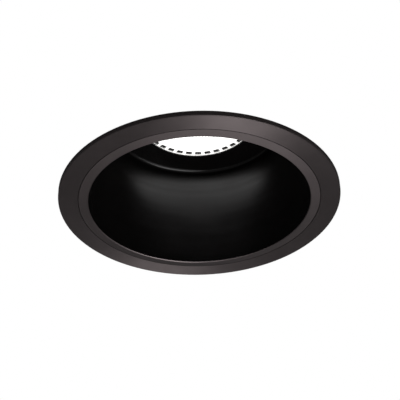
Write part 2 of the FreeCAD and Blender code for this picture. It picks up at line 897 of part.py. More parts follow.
def tube(path, radius):
    """A round rod that follows a path of tangent runs and arcs."""
    first = path.OrderedEdges[0]
    start = first.valueAt(first.FirstParameter)
    tangent = first.tangentAt(first.FirstParameter)
    circle = Part.Circle(start, tangent, radius)
    shell = Part.BRepOffsetAPI.MakePipeShell(path)
    shell.add(Part.Wire([circle.toShape()]))
    shell.build()
    shell.makeSolid()
    return shell.shape()


# ---- Housing and heat sink -------------------------------------------------------------


def housing():
    """Skirt, shoulder and cone, with a flat pad at each side for a spring clip."""
    body = new_body("housing")
    outside = sketch_on(body, "XZ_Plane")
    add_outline(outside, [
        ("0", "skirt_foot"),
        ("skirt_radius", "skirt_foot"),
        ("skirt_radius", "shoulder_start"),
        ("waist_radius", "shoulder_end"),
        ("crown_radius", "sink_level"),
        ("0", "sink_level"),
    ])
    turned(body, outside)
    flat = sketch_on(body, "YZ_Plane")
    half = "pad_width / 2"
    add_rectangle(flat, f"-{half}", "pad_low", half, "pad_low + pad_length")
    pad(body, flat, "2 * pad_face", both_ways=True)
    inside = sketch_on(body, "XZ_Plane")
    crown_back = "sink_level - crown_thickness"
    add_outline(inside, [
        ("0", "skirt_foot"),
        ("skirt_bore", "skirt_foot"),
        ("skirt_bore", "shoulder_start"),
        ("waist_radius - housing_wall", "shoulder_end"),
        ("crown_radius - housing_wall", crown_back),
        ("crown_bore", crown_back),
        ("crown_bore", "sink_level"),
        ("0", "sink_level"),
    ])
    turned(body, inside, cut=True)
    groove = sketch_on(body, "XZ_Plane")
    inner = "seal_radius - seal_width"
    add_rectangle(groove, inner, "sink_level - seal_sink", "seal_radius", "sink_level")
    turned(body, groove, cut=True)
    # Tapped holes: three through the skirt, two in each pad, four in the crown.
    hole = sketch_on(body, "XZ_Plane", "-skirt_radius")
    add_circle(hole, "0", "trim_screw_level", "screw_radius + seat_clearance")
    radial = pocket(body, hole, "housing_wall + screw_clearance", along_normal=True)
    repeated(body, radial, str(len(SCREW_ANGLES)))
    sides = sketch_on(body, "YZ_Plane")
    for sign in ("+", "-"):
        level = f"pin_level {sign} bracket_screw_spacing / 2"
        add_circle(sides, "0", level, "screw_radius + seat_clearance")
    pocket(body, sides, "2 * pad_face", both_ways=True)
    crown = sketch_on(body, "XY_Plane", "sink_level")
    add_circle(crown, "sink_screw_reach", "sink_screw_reach", "screw_radius + seat_clearance")
    repeated(body, pocket(body, crown, "crown_thickness"), str(len(BOSS_ANGLES)))
    return body


def housing_seal():
    outer = "seal_radius - seat_clearance"
    inner = "seal_radius - seal_width + seat_clearance"
    level = "sink_level - seal_sink"
    return ring("housing_seal", outer, inner, level, "sink_level")


def heat_sink():
    """Base plate, core and a fan of radial fins."""
    body = new_body("heat_sink")
    base = sketch_on(body, "XY_Plane", "sink_level")
    add_circle(base, "0", "0", "sink_radius")
    pad(body, base, "sink_base")
    core = sketch_on(body, "XY_Plane", "fin_foot")
    add_circle(core, "0", "0", "core_radius")
    pad(body, core, "fin_height")
    # The first fin stands half a step round, so that the leads rise between two fins.
    fin = sketch_on(body, "XY_Plane", "fin_foot")
    half_step = "180 / fin_count"
    corners = []
    for reach, side in (("core_radius / 2", "-"), ("(sink_radius - fin_inset)", "-"),
                        ("(sink_radius - fin_inset)", ""), ("core_radius / 2", "")):
        half = f"({side}fin_thickness / 2)"
        across = f"{reach} * cos({half_step}) - {half} * sin({half_step})"
        along = f"{reach} * sin({half_step}) + {half} * cos({half_step})"
        corners.append((across, along))
    add_outline(fin, corners)
    repeated(body, pad(body, fin, "fin_height"), "fin_count")
    bevel = sketch_on(body, "XZ_Plane")
    add_outline(bevel, [
        ("sink_radius", "case_level"),
        ("sink_radius - fin_inset - fin_corner", "case_level"),
        ("sink_radius", "case_level - fin_inset - fin_corner"),
    ])
    turned(body, bevel, cut=True)
    lead_way = sketch_on(body, "XY_Plane", "sink_level")
    add_circle(lead_way, "lead_place", "0", "lead_hole_radius")
    pocket(body, lead_way, "sink_base", along_normal=True)
    plate = sketch_on(body, "XY_Plane", "fin_foot")
    add_circle(plate, "sink_screw_reach", "sink_screw_reach", "screw_radius + screw_clearance")
    repeated(body, pocket(body, plate, "sink_base"), str(len(BOSS_ANGLES)))
    below = sketch_on(body, "XY_Plane", "sink_level")
    add_circle(below, "0", "lens_screw_circle", "small_screw_radius + seat_clearance")
    tapped = pocket(body, below, "sink_base - sink_skin", along_normal=True)
    repeated(body, tapped, str(len(SCREW_ANGLES)))
    board = sketch_on(body, "XY_Plane", "sink_level")
    for side in ("", "-"):
        add_circle(board, "0", f"{side}board_screw_circle", "screw_radius + seat_clearance")
    pocket(body, board, "sink_base - sink_skin", along_normal=True)
    top = sketch_on(body, "XY_Plane", "case_level")
    add_circle(top, "0", "case_screw_circle", "screw_radius + seat_clearance")
    repeated(body, pocket(body, top, "case_screw_length"), str(len(SCREW_ANGLES)))
    return body


# ---- Driver case -----------------------------------------------------------------------


def driver_case():
    """Round tray with a boss for the gland, four cover bosses and three board posts."""
    body = new_body("driver_case")
    outside = sketch_on(body, "XY_Plane", "case_level")
    add_circle(outside, "0", "0", "case_radius")
    pad(body, outside, "case_height")
    inside = sketch_on(body, "XY_Plane", "case_floor")
    add_circle(inside, "0", "0", "case_radius - case_wall")
    pocket(body, inside, "case_height", along_normal=True)
    gland_boss = sketch_on(body, "XY_Plane", "case_level")
    half = "gland_boss_width / 2"
    add_rectangle(gland_boss, f"-{half}", "gland_seat - gland_boss_depth", half, "gland_seat")
    pad(body, gland_boss, "case_height")
    bosses = sketch_on(body, "XY_Plane", "case_level")
    add_circle(bosses, "boss_reach", "boss_reach", "boss_radius")
    repeated(body, pad(body, bosses, "case_height"), str(len(BOSS_ANGLES)))
    posts = sketch_on(body, "XY_Plane", "case_level")
    add_circle(posts, "0", "-post_circle", "post_radius")
    repeated(body, pad(body, posts, "case_wall + post_height"), str(len(POST_ANGLES)))
    # Holes: cable gland, cover screws, board screws, case screws and the lead grommet.
    gland = sketch_on(body, "XZ_Plane", "-gland_seat")
    add_circle(gland, "0", "gland_axis", "gland_thread + screw_clearance")
    pocket(body, gland, "gland_boss_depth", along_normal=True)
    cover = sketch_on(body, "XY_Plane", "case_top")
    add_circle(cover, "boss_reach", "boss_reach", "screw_radius + seat_clearance")
    repeated(body, pocket(body, cover, "cover_screw_length"), str(len(BOSS_ANGLES)))
    board = sketch_on(body, "XY_Plane", "post_top")
    add_circle(board, "0", "-post_circle", "screw_radius + seat_clearance")
    repeated(body, pocket(body, board, "post_height"), str(len(POST_ANGLES)))
    floor = sketch_on(body, "XY_Plane", "case_floor")
    add_circle(floor, "0", "case_screw_circle", "screw_radius + screw_clearance")
    repeated(body, pocket(body, floor, "case_wall"), str(len(SCREW_ANGLES)))
    way = sketch_on(body, "XY_Plane", "case_floor")
    add_circle(way, "lead_place", "0", "grommet_radius")
    pocket(body, way, "case_wall")
    return body


def lead_grommet():
    """Rubber ring that holds the edge of the hole in the case floor."""
    body = new_body("lead_grommet")
    sketch = sketch_on(body, "XZ_Plane")
    neck = "grommet_radius - seat_clearance"
    flange = "grommet_radius + grommet_groove"
    over = "case_floor + seat_clearance"
    add_outline(sketch, [
        ("lead_hole_radius", "case_level"),
        (neck, "case_level"),
        (neck, over),
        (flange, over),
        (flange, f"{over} + grommet_groove"),
        ("lead_hole_radius", f"{over} + 2 * grommet_groove"),
    ])
    turned(body, sketch)
    placed(body, "lead_place", "0")
    return body


def case_gasket():
    """Flat ring between the case and its cover."""
    body = new_body("case_gasket")
    rim = sketch_on(body, "XY_Plane", "case_top")
    add_circle(rim, "0", "0", "case_radius")
    add_circle(rim, "0", "0", "case_radius - case_wall")
    pad(body, rim, "case_gasket_thickness")
    return body


def rear_cover():
    """Round lid with a raised crown and four sunk screw seats."""
    body = new_body("rear_cover")
    sketch = sketch_on(body, "XZ_Plane")
    top = "cover_level + cover_thickness"
    crown = top + " + cover_crown"
    add_outline(sketch, [
        ("0", "cover_level"),
        ("case_radius", "cover_level"),
        ("case_radius", f"{top} - cover_edge"),
        ("case_radius - cover_edge", top),
        ("cover_crown_radius + cover_crown", top),
        ("cover_crown_radius", crown),
        ("0", crown),
    ])
    turned(body, sketch)
    holes = sketch_on(body, "XY_Plane", "cover_level")
    add_circle(holes, "boss_reach", "boss_reach", "screw_radius + screw_clearance")
    through = pocket(body, holes, "cover_thickness", along_normal=True)
    repeated(body, through, str(len(BOSS_ANGLES)))
    seats = sketch_on(body, "XY_Plane", top)
    add_circle(seats, "boss_reach", "boss_reach", "screw_head + 3 * screw_clearance")
    repeated(body, pocket(body, seats, "cover_thickness / 2"), str(len(BOSS_ANGLES)))
    return body


def driver_board():
    body = new_body("driver_board")
    sketch = sketch_on(body, "XY_Plane", "post_top")
    add_circle(sketch, "0", "0", "driver_radius")
    pad(body, sketch, "driver_thickness")
    hole = sketch_on(body, "XY_Plane", "post_top")
    add_circle(hole, "0", "-post_circle", "screw_radius + screw_clearance")
    cut = pocket(body, hole, "driver_thickness", along_normal=True)
    repeated(body, cut, str(len(POST_ANGLES)))
    return body


def terminal_block():
    """Three-way block: a cable entry towards the gland and a screw well for each pole."""
    body = new_body("terminal_block")
    sketch = sketch_on(body, "XY_Plane", "driver_top")
    half = "terminal_width / 2"
    front = "terminal_place + terminal_depth / 2"
    back = "terminal_place - terminal_depth / 2"
    add_rectangle(sketch, f"-{half}", back, half, front)
    pad(body, sketch, "terminal_height")
    wells = sketch_on(body, "XY_Plane", "driver_top + terminal_height")
    entries = sketch_on(body, "XZ_Plane", f"-({front})")
    for pole in (-1, 0, 1):
        across = f"{pole} * terminal_pitch"
        add_circle(wells, across, "terminal_place", "terminal_hole")
        add_circle(entries, across, "driver_top + terminal_entry_level", "terminal_hole")
    pocket(body, wells, "terminal_well")
    pocket(body, entries, "terminal_entry_depth", along_normal=True)
    return body


def terminal_screws():
    body = new_body("terminal_screw", keep=False)
    sketch = sketch_on(body, "XY_Plane")
    add_circle(sketch, "0", "0", "terminal_hole - screw_clearance")
    pad(body, sketch, "terminal_screw_length")
    slot = sketch_on(body, "XY_Plane", "terminal_screw_length")
    half = "terminal_slot_width / 2"
    add_rectangle(slot, "-terminal_hole", f"-{half}", "terminal_hole", half)
    pocket(body, slot, "terminal_slot_depth")
    level = number("driver_top + terminal_height - terminal_well")
    pitch = number("terminal_pitch")
    place = number("terminal_place")
    places = [Placement(Vector(pole * pitch, place, level), Rotation()) for pole in (-1, 0, 1)]
    return copies("terminal_screws", body, places)


def transformer_core():
    """Ferrite block with a window either side of its middle leg."""
    body = new_body("transformer_core")
    sketch = sketch_on(body, "XZ_Plane")
    half = "core_length / 2"
    add_rectangle(sketch, f"-{half}", "driver_top", half, "driver_top + core_height")
    pad(body, sketch, "core_width", both_ways=True)
    windows = sketch_on(body, "XZ_Plane")
    for side in ("-1", "1"):
        low = f"{side} * core_window - core_window / 2"
        high = f"{side} * core_window + core_window / 2"
        add_rectangle(windows, low, "window_low", high, "window_high")
    pocket(body, windows, "core_width", both_ways=True)
    placed(body, "transformer_across", "transformer_along")
    return body


def transformer_winding():
    """Taped coil round the middle leg, standing out in front of and behind the core."""
    body = new_body("transformer_winding")
    sketch = sketch_on(body, "XY_Plane", "window_low + seat_clearance")
    reach = "core_window + core_window / 2 - seat_clearance"
    depth = "core_width / 2 + winding_reach"
    leg = "core_window / 2 + seat_clearance"
    leg_depth = "core_width / 2 + seat_clearance"
    add_rectangle(sketch, f"-({reach})", f"-({depth})", reach, depth)
    add_rectangle(sketch, f"-({leg})", f"-({leg_depth})", leg, leg_depth)
    pad(body, sketch, "window_high - window_low - 2 * seat_clearance")
    placed(body, "transformer_across", "transformer_along")
    return body


def capacitors():
    """Two electrolytic cans with a rolled top edge."""
    body = new_body("capacitor", keep=False)
    sketch = sketch_on(body, "XY_Plane")
    add_circle(sketch, "0", "0", "capacitor_radius")
    pad(body, sketch, "capacitor_height")
    top = ring_edges(body, "capacitor_radius", "capacitor_height")
    dressed(body, "Chamfer", top, "capacitor_edge")
    level = number("driver_top")
    first = Vector(number("capacitor_across"), number("capacitor_along"), level)
    pitch = Vector(number("2 * capacitor_radius + capacitor_gap"), 0, 0)
    second = first + Rotation(Vector(0, 0, -1), number("capacitor_turn")).multVec(pitch)
    return copies("capacitors", body, [Placement(spot, Rotation()) for spot in (first, second)])


def choke():
    """A wound ring core lying on the board."""
    body = new_body("choke")
    sketch = sketch_on(body, "XZ_Plane")
    top = "driver_top + choke_height"
    add_rectangle(sketch, "choke_bore", "driver_top", "choke_radius", top)
    turned(body, sketch)
    edges = ring_edges(body, "choke_radius", top) + ring_edges(body, "choke_bore", top)
    dressed(body, "Chamfer", edges, "choke_edge")
    placed(body, "choke_across", "choke_along")
    return body


# ---- Cable gland -----------------------------------------------------------------------


def on_gland_axis(body):
    """Stand a body made about the Z axis on the gland's seat, pointing out along Y."""
    body.Placement = Placement(Vector(), Rotation(Vector(1, 0, 0), -90))
    body.setExpression("Placement.Base.y", formula("gland_seat"))
    body.setExpression("Placement.Base.z", formula("gland_axis"))
    doc.recompute()


def gland_body():
    """Threaded tail and sleeve with a hexagon between them."""
    body = new_body("gland_body")
    hexagon = sketch_on(body, "XY_Plane", "gland_washer")
    add_hexagon(hexagon, "0", "0", "gland_hex")
    pad(body, hexagon, "gland_hex_thickness")
    stem = sketch_on(body, "XY_Plane", "-gland_tail")
    add_circle(stem, "0", "0", "gland_thread")
    pad(body, stem, "gland_tail + sleeve_end")
    bore = sketch_on(body, "XY_Plane", "sleeve_end")
    add_circle(bore, "0", "0", "gland_bore")
    pocket(body, bore, "gland_tail + sleeve_end")
    seat = sketch_on(body, "XY_Plane", "sleeve_end")
    add_circle(seat, "0", "0", "gland_sleeve")
    pocket(body, seat, "sleeve_end - seal_start")
    on_gland_axis(body)
    return body


def gland_seal():
    body = ring("gland_seal", "gland_sleeve - seat_clearance", "cable_radius",
                "seal_start", "nut_end - gland_nut_face")
    on_gland_axis(body)
    return body


def gland_washer():
    body = ring("gland_washer", "gland_hex / 2", "gland_thread + screw_clearance",
                "0", "gland_washer")
    on_gland_axis(body)
    return body


def gland_nut():
    """Hexagonal cap with a domed end and a smooth hole for the cable."""
    body = new_body("gland_nut")
    hexagon = sketch_on(body, "XY_Plane", "nut_start")
    add_hexagon(hexagon, "0", "0", "gland_hex")
    pad(body, hexagon, "gland_nut_length")
    dome = sketch_on(body, "XZ_Plane")
    add_outline(dome, [
        ("gland_nut_nose", "nut_end"),
        ("gland_hex / 2", "nut_end - gland_nut_dome"),
        ("gland_hex", "nut_end - gland_nut_dome"),
        ("gland_hex", "nut_end"),
    ])
    turned(body, dome, cut=True)
    inside = sketch_on(body, "XY_Plane", "nut_start")
    add_circle(inside, "0", "0", "gland_thread + screw_clearance")
    pocket(body, inside, "gland_nut_length - gland_nut_face", along_normal=True)
    way = sketch_on(body, "XY_Plane", "nut_end")
    add_circle(way, "0", "0", "gland_bore")
    pocket(body, way, "gland_nut_face")
    on_gland_axis(body)
    return body


def gland_locknut():
    body = new_body("gland_locknut")
    hexagon = sketch_on(body, "XY_Plane", "-gland_boss_depth - locknut_thickness")
    add_hexagon(hexagon, "0", "0", "gland_hex")
    pad(body, hexagon, "locknut_thickness")
    way = sketch_on(body, "XY_Plane", "-gland_boss_depth - locknut_thickness")
    add_circle(way, "0", "0", "gland_thread + screw_clearance")
    pocket(body, way, "locknut_thickness", along_normal=True)
    on_gland_axis(body)
    return body


# ---- Spring clips ----------------------------------------------------------------------


def on_side(piece, side, local=Placement()):
    """Turn a piece modelled on the right about the Z axis to its own side."""
    turn = Placement(Vector(), Rotation(Vector(0, 0, 1), SIDES[side]))
    piece.Placement = turn.multiply(local)
    doc.recompute()


def at_pin(turn):
    return Placement(Vector(number("pin_reach"), 0, number("pin_level")), turn)


def arm_place():
    """The arm's own frame: X from the pin to the foot, Z square to its web."""
    return at_pin(Rotation(Vector(0, 1, 0), number("rest_angle")))


def from_pin(along, square):
    """Formulas of a point given in the arm's frame while the arm rests on its stop."""
    across = f"pin_reach + ({along}) * cos(rest_angle) + ({square}) * sin(rest_angle)"
    level = f"pin_level - ({along}) * sin(rest_angle) + ({square}) * cos(rest_angle)"
    return across, level


def clip_bracket(side):
    """Bent bracket: a base on the housing's pad, two ears and a stop in front of each."""
    body = new_body("clip_bracket_" + side)
    front = "pad_face + bracket_thickness"
    base = sketch_on(body, "XZ_Plane")
    half = "bracket_length / 2"
    add_rectangle(base, "pad_face", f"pin_level - {half}", front, f"pin_level + {half}")
    pad(body, base, "bracket_width", both_ways=True)
    ears = sketch_on(body, "XZ_Plane")
    add_outline(ears, [
        ("pad_face", "pin_level - ear_foot"),
        (front, "pin_level - ear_foot"),
        ("pin_reach", "pin_level - ear_radius", "ear_radius"),
        ("pin_reach", "pin_level + ear_radius"),
        (front, "pin_level + ear_foot"),
        ("pad_face", "pin_level + ear_foot"),
    ])
    pad(body, ears, "bracket_width", both_ways=True)
    room = sketch_on(body, "XZ_Plane")
    reach = "pin_reach + 2 * ear_radius"
    add_rectangle(room, front, f"pin_level - {half}", reach, f"pin_level + {half}")
    pocket(body, room, "2 * ear_gap", both_ways=True)
    heel = "-arm_flange - stop_clearance"
    stop = sketch_on(body, "XZ_Plane", "ear_gap - stop_width")
    upper = from_pin("stop_start", heel)
    lower = from_pin("stop_length", heel)
    add_outline(stop, [
        upper,
        (f"{front} - bracket_thickness / 2", upper[1]),
        (f"{front} - bracket_thickness / 2", f"{lower[1]} - bracket_thickness"),
        lower,
    ])
    mirrored(body, pad(body, stop, "stop_width + bracket_thickness / 2"), "XZ_Plane")
    hole = sketch_on(body, "XZ_Plane")
    add_circle(hole, "pin_reach", "pin_level", "pin_radius + seat_clearance")
    pocket(body, hole, "bracket_width", both_ways=True)
    screws = sketch_on(body, "YZ_Plane", "pad_face")
    for sign in ("+", "-"):
        level = f"pin_level {sign} bracket_screw_spacing / 2"
        add_circle(screws, "0", level, "screw_radius + screw_clearance")
    pocket(body, screws, "bracket_thickness", along_normal=True)
    on_side(body, side)
    return body


def hinge_pin(side):
    """Headed pin with a groove for its retaining clip."""
    body = new_body("hinge_pin_" + side)
    sketch = sketch_on(body, "XZ_Plane")
    end = "bracket_width / 2"
    groove = f"{end} + seat_clearance"
    tail = f"{groove} + pin_clip_thickness + 2 * seat_clearance"
    add_outline(sketch, [
        ("0", f"-{end} - pin_head_thickness"),
        ("pin_head", f"-{end} - pin_head_thickness"),
        ("pin_head", f"-{end}"),
        ("pin_radius", f"-{end}"),
        ("pin_radius", groove),
        ("pin_groove", groove),
        ("pin_groove", tail),
        ("pin_radius", tail),
        ("pin_radius", f"{tail} + pin_clip_thickness"),
        ("0", f"{tail} + pin_clip_thickness"),
    ])
    turned(body, sketch)
    on_side(body, side, at_pin(Rotation(Vector(1, 0, 0), 90)))
    return body


def pin_clips():
    """Two spring steel retaining clips, open on one side."""
    body = new_body("pin_clip", keep=False)
    sketch = sketch_on(body, "XY_Plane", "bracket_width / 2 + 2 * seat_clearance")
    add_circle(sketch, "0", "0", "pin_clip_radius")
    add_circle(sketch, "0", "0", "pin_groove + seat_clearance")
    pad(body, sketch, "pin_clip_thickness")
    gap = sketch_on(body, "XY_Plane", "bracket_width / 2 + 2 * seat_clearance")
    half = "pin_clip_mouth / 2"
    add_rectangle(gap, "0", f"-({half})", "pin_clip_radius", half)
    pocket(body, gap, "pin_clip_thickness", along_normal=True)
    places = []
    for angle in SIDES.values():
        turn = Placement(Vector(), Rotation(Vector(0, 0, 1), angle))
        places.append(turn.multiply(at_pin(Rotation(Vector(1, 0, 0), 90))))
    return copies("pin_clips", body, places)


def spring_arm(side):
    """Folded steel arm: two flanges with the pin's holes, a tapering web and its rib."""
    body = new_body("spring_arm_" + side)
    flanges = sketch_on(body, "XZ_Plane")
    half = "arm_thickness / 2"
    add_outline(flanges, [
        ("0", "-arm_flange"),
        ("arm_window", "-arm_flange"),
        ("arm_taper_end", f"-{half}"),
        ("arm_taper_end", half),
        ("arm_window", "arm_flange"),
        ("0", "arm_flange", "arm_flange"),
    ])
    pad(body, flanges, "arm_width", both_ways=True)
    inside = sketch_on(body, "XZ_Plane")
    add_rectangle(inside, "-2 * arm_flange", "-2 * arm_flange", "arm_length", "2 * arm_flange")
    pocket(body, inside, "arm_width - 2 * arm_thickness", both_ways=True)
    web = sketch_on(body, "XY_Plane")
    add_outline(web, [
        ("arm_window", "-arm_width / 2"),
        ("arm_taper_end", "-arm_width / 2"),
        ("arm_length - foot_length", "-arm_tip_width / 2"),
        ("web_end", "-arm_tip_width / 2"),
        ("web_end", "arm_tip_width / 2"),
        ("arm_length - foot_length", "arm_tip_width / 2"),
        ("arm_taper_end", "arm_width / 2"),
        ("arm_window", "arm_width / 2"),
    ])
    pad(body, web, "arm_thickness", both_ways=True)
    rib = sketch_on(body, "XZ_Plane")
    start = "arm_window + 2 * arm_rib_height"
    finish = "arm_length - foot_length - 2 * arm_rib_height"
    add_outline(rib, [
        (start, "0"),
        (finish, "0"),
        (f"{finish} - arm_rib_height", f"{half} + arm_rib_height"),
        (f"{start} + arm_rib_height", f"{half} + arm_rib_height"),
    ])
    pad(body, rib, "arm_rib_width", both_ways=True)
    hole = sketch_on(body, "XZ_Plane")
    add_circle(hole, "0", "0", "pin_radius + pin_clearance")
    pocket(body, hole, "arm_width", both_ways=True)
    on_side(body, side, arm_place())
    return body


def foot_pad(side):
    """Rubber shoe pushed over the arm's tip, rounded where it presses on the soffit."""
    body = new_body("foot_pad_" + side)
    shoe = sketch_on(body, "XZ_Plane")
    tip = "arm_length - foot_radius"
    heel = "arm_length - foot_length"
    add_outline(shoe, [
        (heel, "-foot_heel"),
        (f"{heel} + foot_radius", "-foot_radius"),
        (tip, "-foot_radius", "foot_radius"),
        (tip, "foot_radius"),
        (f"{heel} + foot_radius", "foot_radius"),
        (heel, "foot_heel"),
    ])
    pad(body, shoe, "foot_width", both_ways=True)
    dressed(body, "Fillet", side_edges(body, "foot_width / 2"), "foot_edge")
    slot = sketch_on(body, "XZ_Plane")
    half = "arm_thickness / 2 + seat_clearance"
    add_rectangle(slot, heel, f"-({half})", "web_end + seat_clearance", half)
    pocket(body, slot, "arm_tip_width + 2 * seat_clearance", both_ways=True)
    on_side(body, side, arm_place())
    return body


def biarc(start, start_way, end, end_way):
    """Two arcs that join two points and keep the direction given at each of them."""
    chord = end - start
    ways = start_way + end_way
    across = chord.dot(ways)
    turn = 2 * (1 - start_way.dot(end_way))
    reach = (math.sqrt(across**2 + turn * chord.dot(chord)) - across) / turn
    corners = start + start_way * reach, end - end_way * reach
    joint = (corners[0] + corners[1]) * 0.5
    return [arc_by_corner(start, corners[0], joint), arc_by_corner(joint, corners[1], end)]


def arc_by_corner(start, corner, end):
    """The arc that leaves start towards the corner and reaches end coming from it."""
    weight = (end - start).Length / 2 / (corner - start).Length
    middle = (start + corner * 2 * weight + end) * (0.5 / (1 + weight))
    return Part.Arc(start, middle, end).toShape()


# The gap between windings is the least distance between points at least this much of a
# turn apart.
GAP_SAMPLES = 400
GAP_REACH = 0.6


def torsion_spring(side):
    """Wire wound about the hinge pin, one leg down the bracket, one out under the web."""
    radius = number("spring_radius")
    pitch = number("spring_pitch")
    # Whole turns, then on to the arm's rest direction from the leg that points down.
    sweep = number("360 * spring_turns + 90 + rest_angle")
    width = pitch * sweep / 360
    # Each step is at most a quarter turn, short enough for two arcs to follow the helix.
    steps = math.ceil(sweep / 90)

    def point(share):
        angle = math.radians(180 - sweep * share)
        return Vector(radius * math.cos(angle), width * (share - 0.5), radius * math.sin(angle))

    def way(share):
        angle = math.radians(180 - sweep * share)
        round_speed = radius * math.radians(sweep)
        along = Vector(round_speed * math.sin(angle), width, -round_speed * math.cos(angle))
        return along.normalize()

    start = point(0) - way(0) * number("spring_fixed_leg")
    end = point(1) + way(1) * number("spring_moving_leg")
    runs = [Part.LineSegment(start, point(0)).toShape()]
    for step in range(steps):
        low = step / steps
        high = (step + 1) / steps
        runs += biarc(point(low), way(low), point(high), way(high))
    runs.append(Part.LineSegment(point(1), end).toShape())
    path = Part.Wire(runs)
    piece = doc.addObject("Part::Feature", "torsion_spring_" + side)
    piece.Label = "torsion_spring_" + side
    piece.Shape = tube(path, number("spring_wire / 2"))
    on_side(piece, side, at_pin(Rotation()))
    kept.append(piece)
    turn = 360 / sweep
    samples = [point(place / GAP_SAMPLES) for place in range(GAP_SAMPLES + 1)]
    apart = int(GAP_SAMPLES * turn * GAP_REACH)
    gap = min(
        (samples[second] - samples[first]).Length
        for first in range(len(samples))
        for second in range(first + apart, len(samples))
    ) - number("spring_wire")
    print(f"{piece.Label}: {sweep / 360:.2f} turns, least gap to itself {gap:.2f} mm")
    return piece


# ---- Fasteners -------------------------------------------------------------------------


def radial(angles, radius, level):
    """Placements whose Z axis points away from the fixture's axis."""
    places = []
    for angle in angles:
        away = Rotation(Vector(0, 0, 1), angle).multVec(Vector(1, 0, 0))
        turn = Rotation(Vector(0, 0, 1), away)
        places.append(Placement(away * radius + Vector(0, 0, level), turn))
    return places


def fasteners():
    up = Vector(0, 0, 1)
    down = Vector(0, 0, -1)
    trim = screw("trim_screw", "trim_screw_length", sunk=True)
    level = number("trim_screw_level")
    copies("trim_screws", trim, radial(SCREW_ANGLES, number("collar_radius"), level))
    lens_screw = screw("lens_screw", "lens_screw_length", small=True, sunk=True)
    circle = number("lens_screw_circle")
    front = number("bezel_flange_front")
    copies("lens_screws", lens_screw, around(SCREW_ANGLES, circle, front, down))
    board = screw("board_screw", "board_screw_length")
    circle = number("board_screw_circle")
    copies("board_screws", board, around(BOARD_SCREW_ANGLES, circle, number("board_front"), down))
    bracket = screw("bracket_screw", "bracket_screw_length")
    front = number("pad_face + bracket_thickness")
    places = []
    for level in ("pin_level - bracket_screw_spacing / 2", "pin_level + bracket_screw_spacing / 2"):
        places += radial(SIDES.values(), front, number(level))
    copies("bracket_screws", bracket, places)
    sink = screw("sink_screw", "sink_screw_length")
    circle = number("sink_screw_circle")
    copies("heat_sink_screws", sink, around(BOSS_ANGLES, circle, number("fin_foot"), up))
    case = screw("case_screw", "case_screw_length")
    circle = number("case_screw_circle")
    copies("case_screws", case, around(SCREW_ANGLES, circle, number("case_floor"), up))
    post = screw("post_screw", "post_screw_length")
    circle = number("post_circle")
    copies("driver_screws", post, around(POST_ANGLES, circle, number("driver_top"), up))
    cover = screw("cover_screw", "cover_screw_length")
    circle = number("boss_circle")
    seat = number("cover_level + cover_thickness / 2")
    copies("cover_screws", cover, around(BOSS_ANGLES, circle, seat, up))


# ---- Assembly --------------------------------------------------------------------------


def build():
    trim_ring()
    soffit_gasket()
    baffle()
    copies("baffle_springs", baffle_leaf(), turned_places(LEAF_ANGLES))
    lens()
    lens_bezel()
    lens_seal()
    lens_holder()
    thermal_pad()
    led_board()
    led_chip()
    led_phosphor()
    lead("lead_positive", "")
    lead("lead_negative", "-")
    housing()
    housing_seal()
    heat_sink()
    driver_case()
    lead_grommet()
    case_gasket()
    rear_cover()
    driver_board()
    terminal_block()
    terminal_screws()
    transformer_core()
    transformer_winding()
    capacitors()
    choke()
    gland_body()
    gland_seal()
    gland_washer()
    gland_nut()
    gland_locknut()
    for side in SIDES:
        clip_bracket(side)
        hinge_pin(side)
        torsion_spring(side)
        spring_arm(side)
        foot_pad(side)
    pin_clips()
    fasteners()
    doc.recompute()


def check():
    """Every object computed without error, every piece a valid closed solid."""
    for item in doc.Objects:
        if "Invalid" in item.State or "Error" in item.State:
            raise ValueError(f"{item.Label}: {item.State}")
    for piece in kept:
        if piece.Shape.isNull() or not piece.Shape.isValid():
            raise ValueError(f"{piece.Label}: not a valid solid")
        if not piece.Shape.Solids or piece.Shape.Volume <= 0:
            raise ValueError(f"{piece.Label}: holds no solid")


def write():
    os.makedirs("parts", exist_ok=True)
    for piece in kept:
        piece.Shape.exportStep(os.path.join("parts", piece.Label + ".step"))
        solids = len(piece.Shape.Solids)
        print(f"{piece.Label}: {solids} solid(s), {piece.Shape.Volume / 1000:.3f} cm3")


build()
check()
write()
print(f"{len(kept)} pieces, arm folds through {90 + number('rest_angle'):.2f} degrees")
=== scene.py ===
# %% [markdown]
# # A recessed soffit light and its finishes
#
# The real thing is a black metal light that hangs in a round hole of a soffit. From below
# one sees a flat turned ring, a deep black cone and a lens far up inside it. Above the
# soffit there are a housing, a finned heat sink, a driver case with a cable gland, and two
# sprung arms that hold the light in its hole.
#
# Every rigid piece already has its shape and size in the solid model, so it is loaded first
# and left as it is. This file adds what a solid model lacks: finishes, light, the wound
# springs of the arms, and small repeated forms such as the beads of the lens.
# All lengths are in metres.

# %% Load the solid model
import json
import math

import bpy
import bmesh
from mathutils import Matrix, Vector


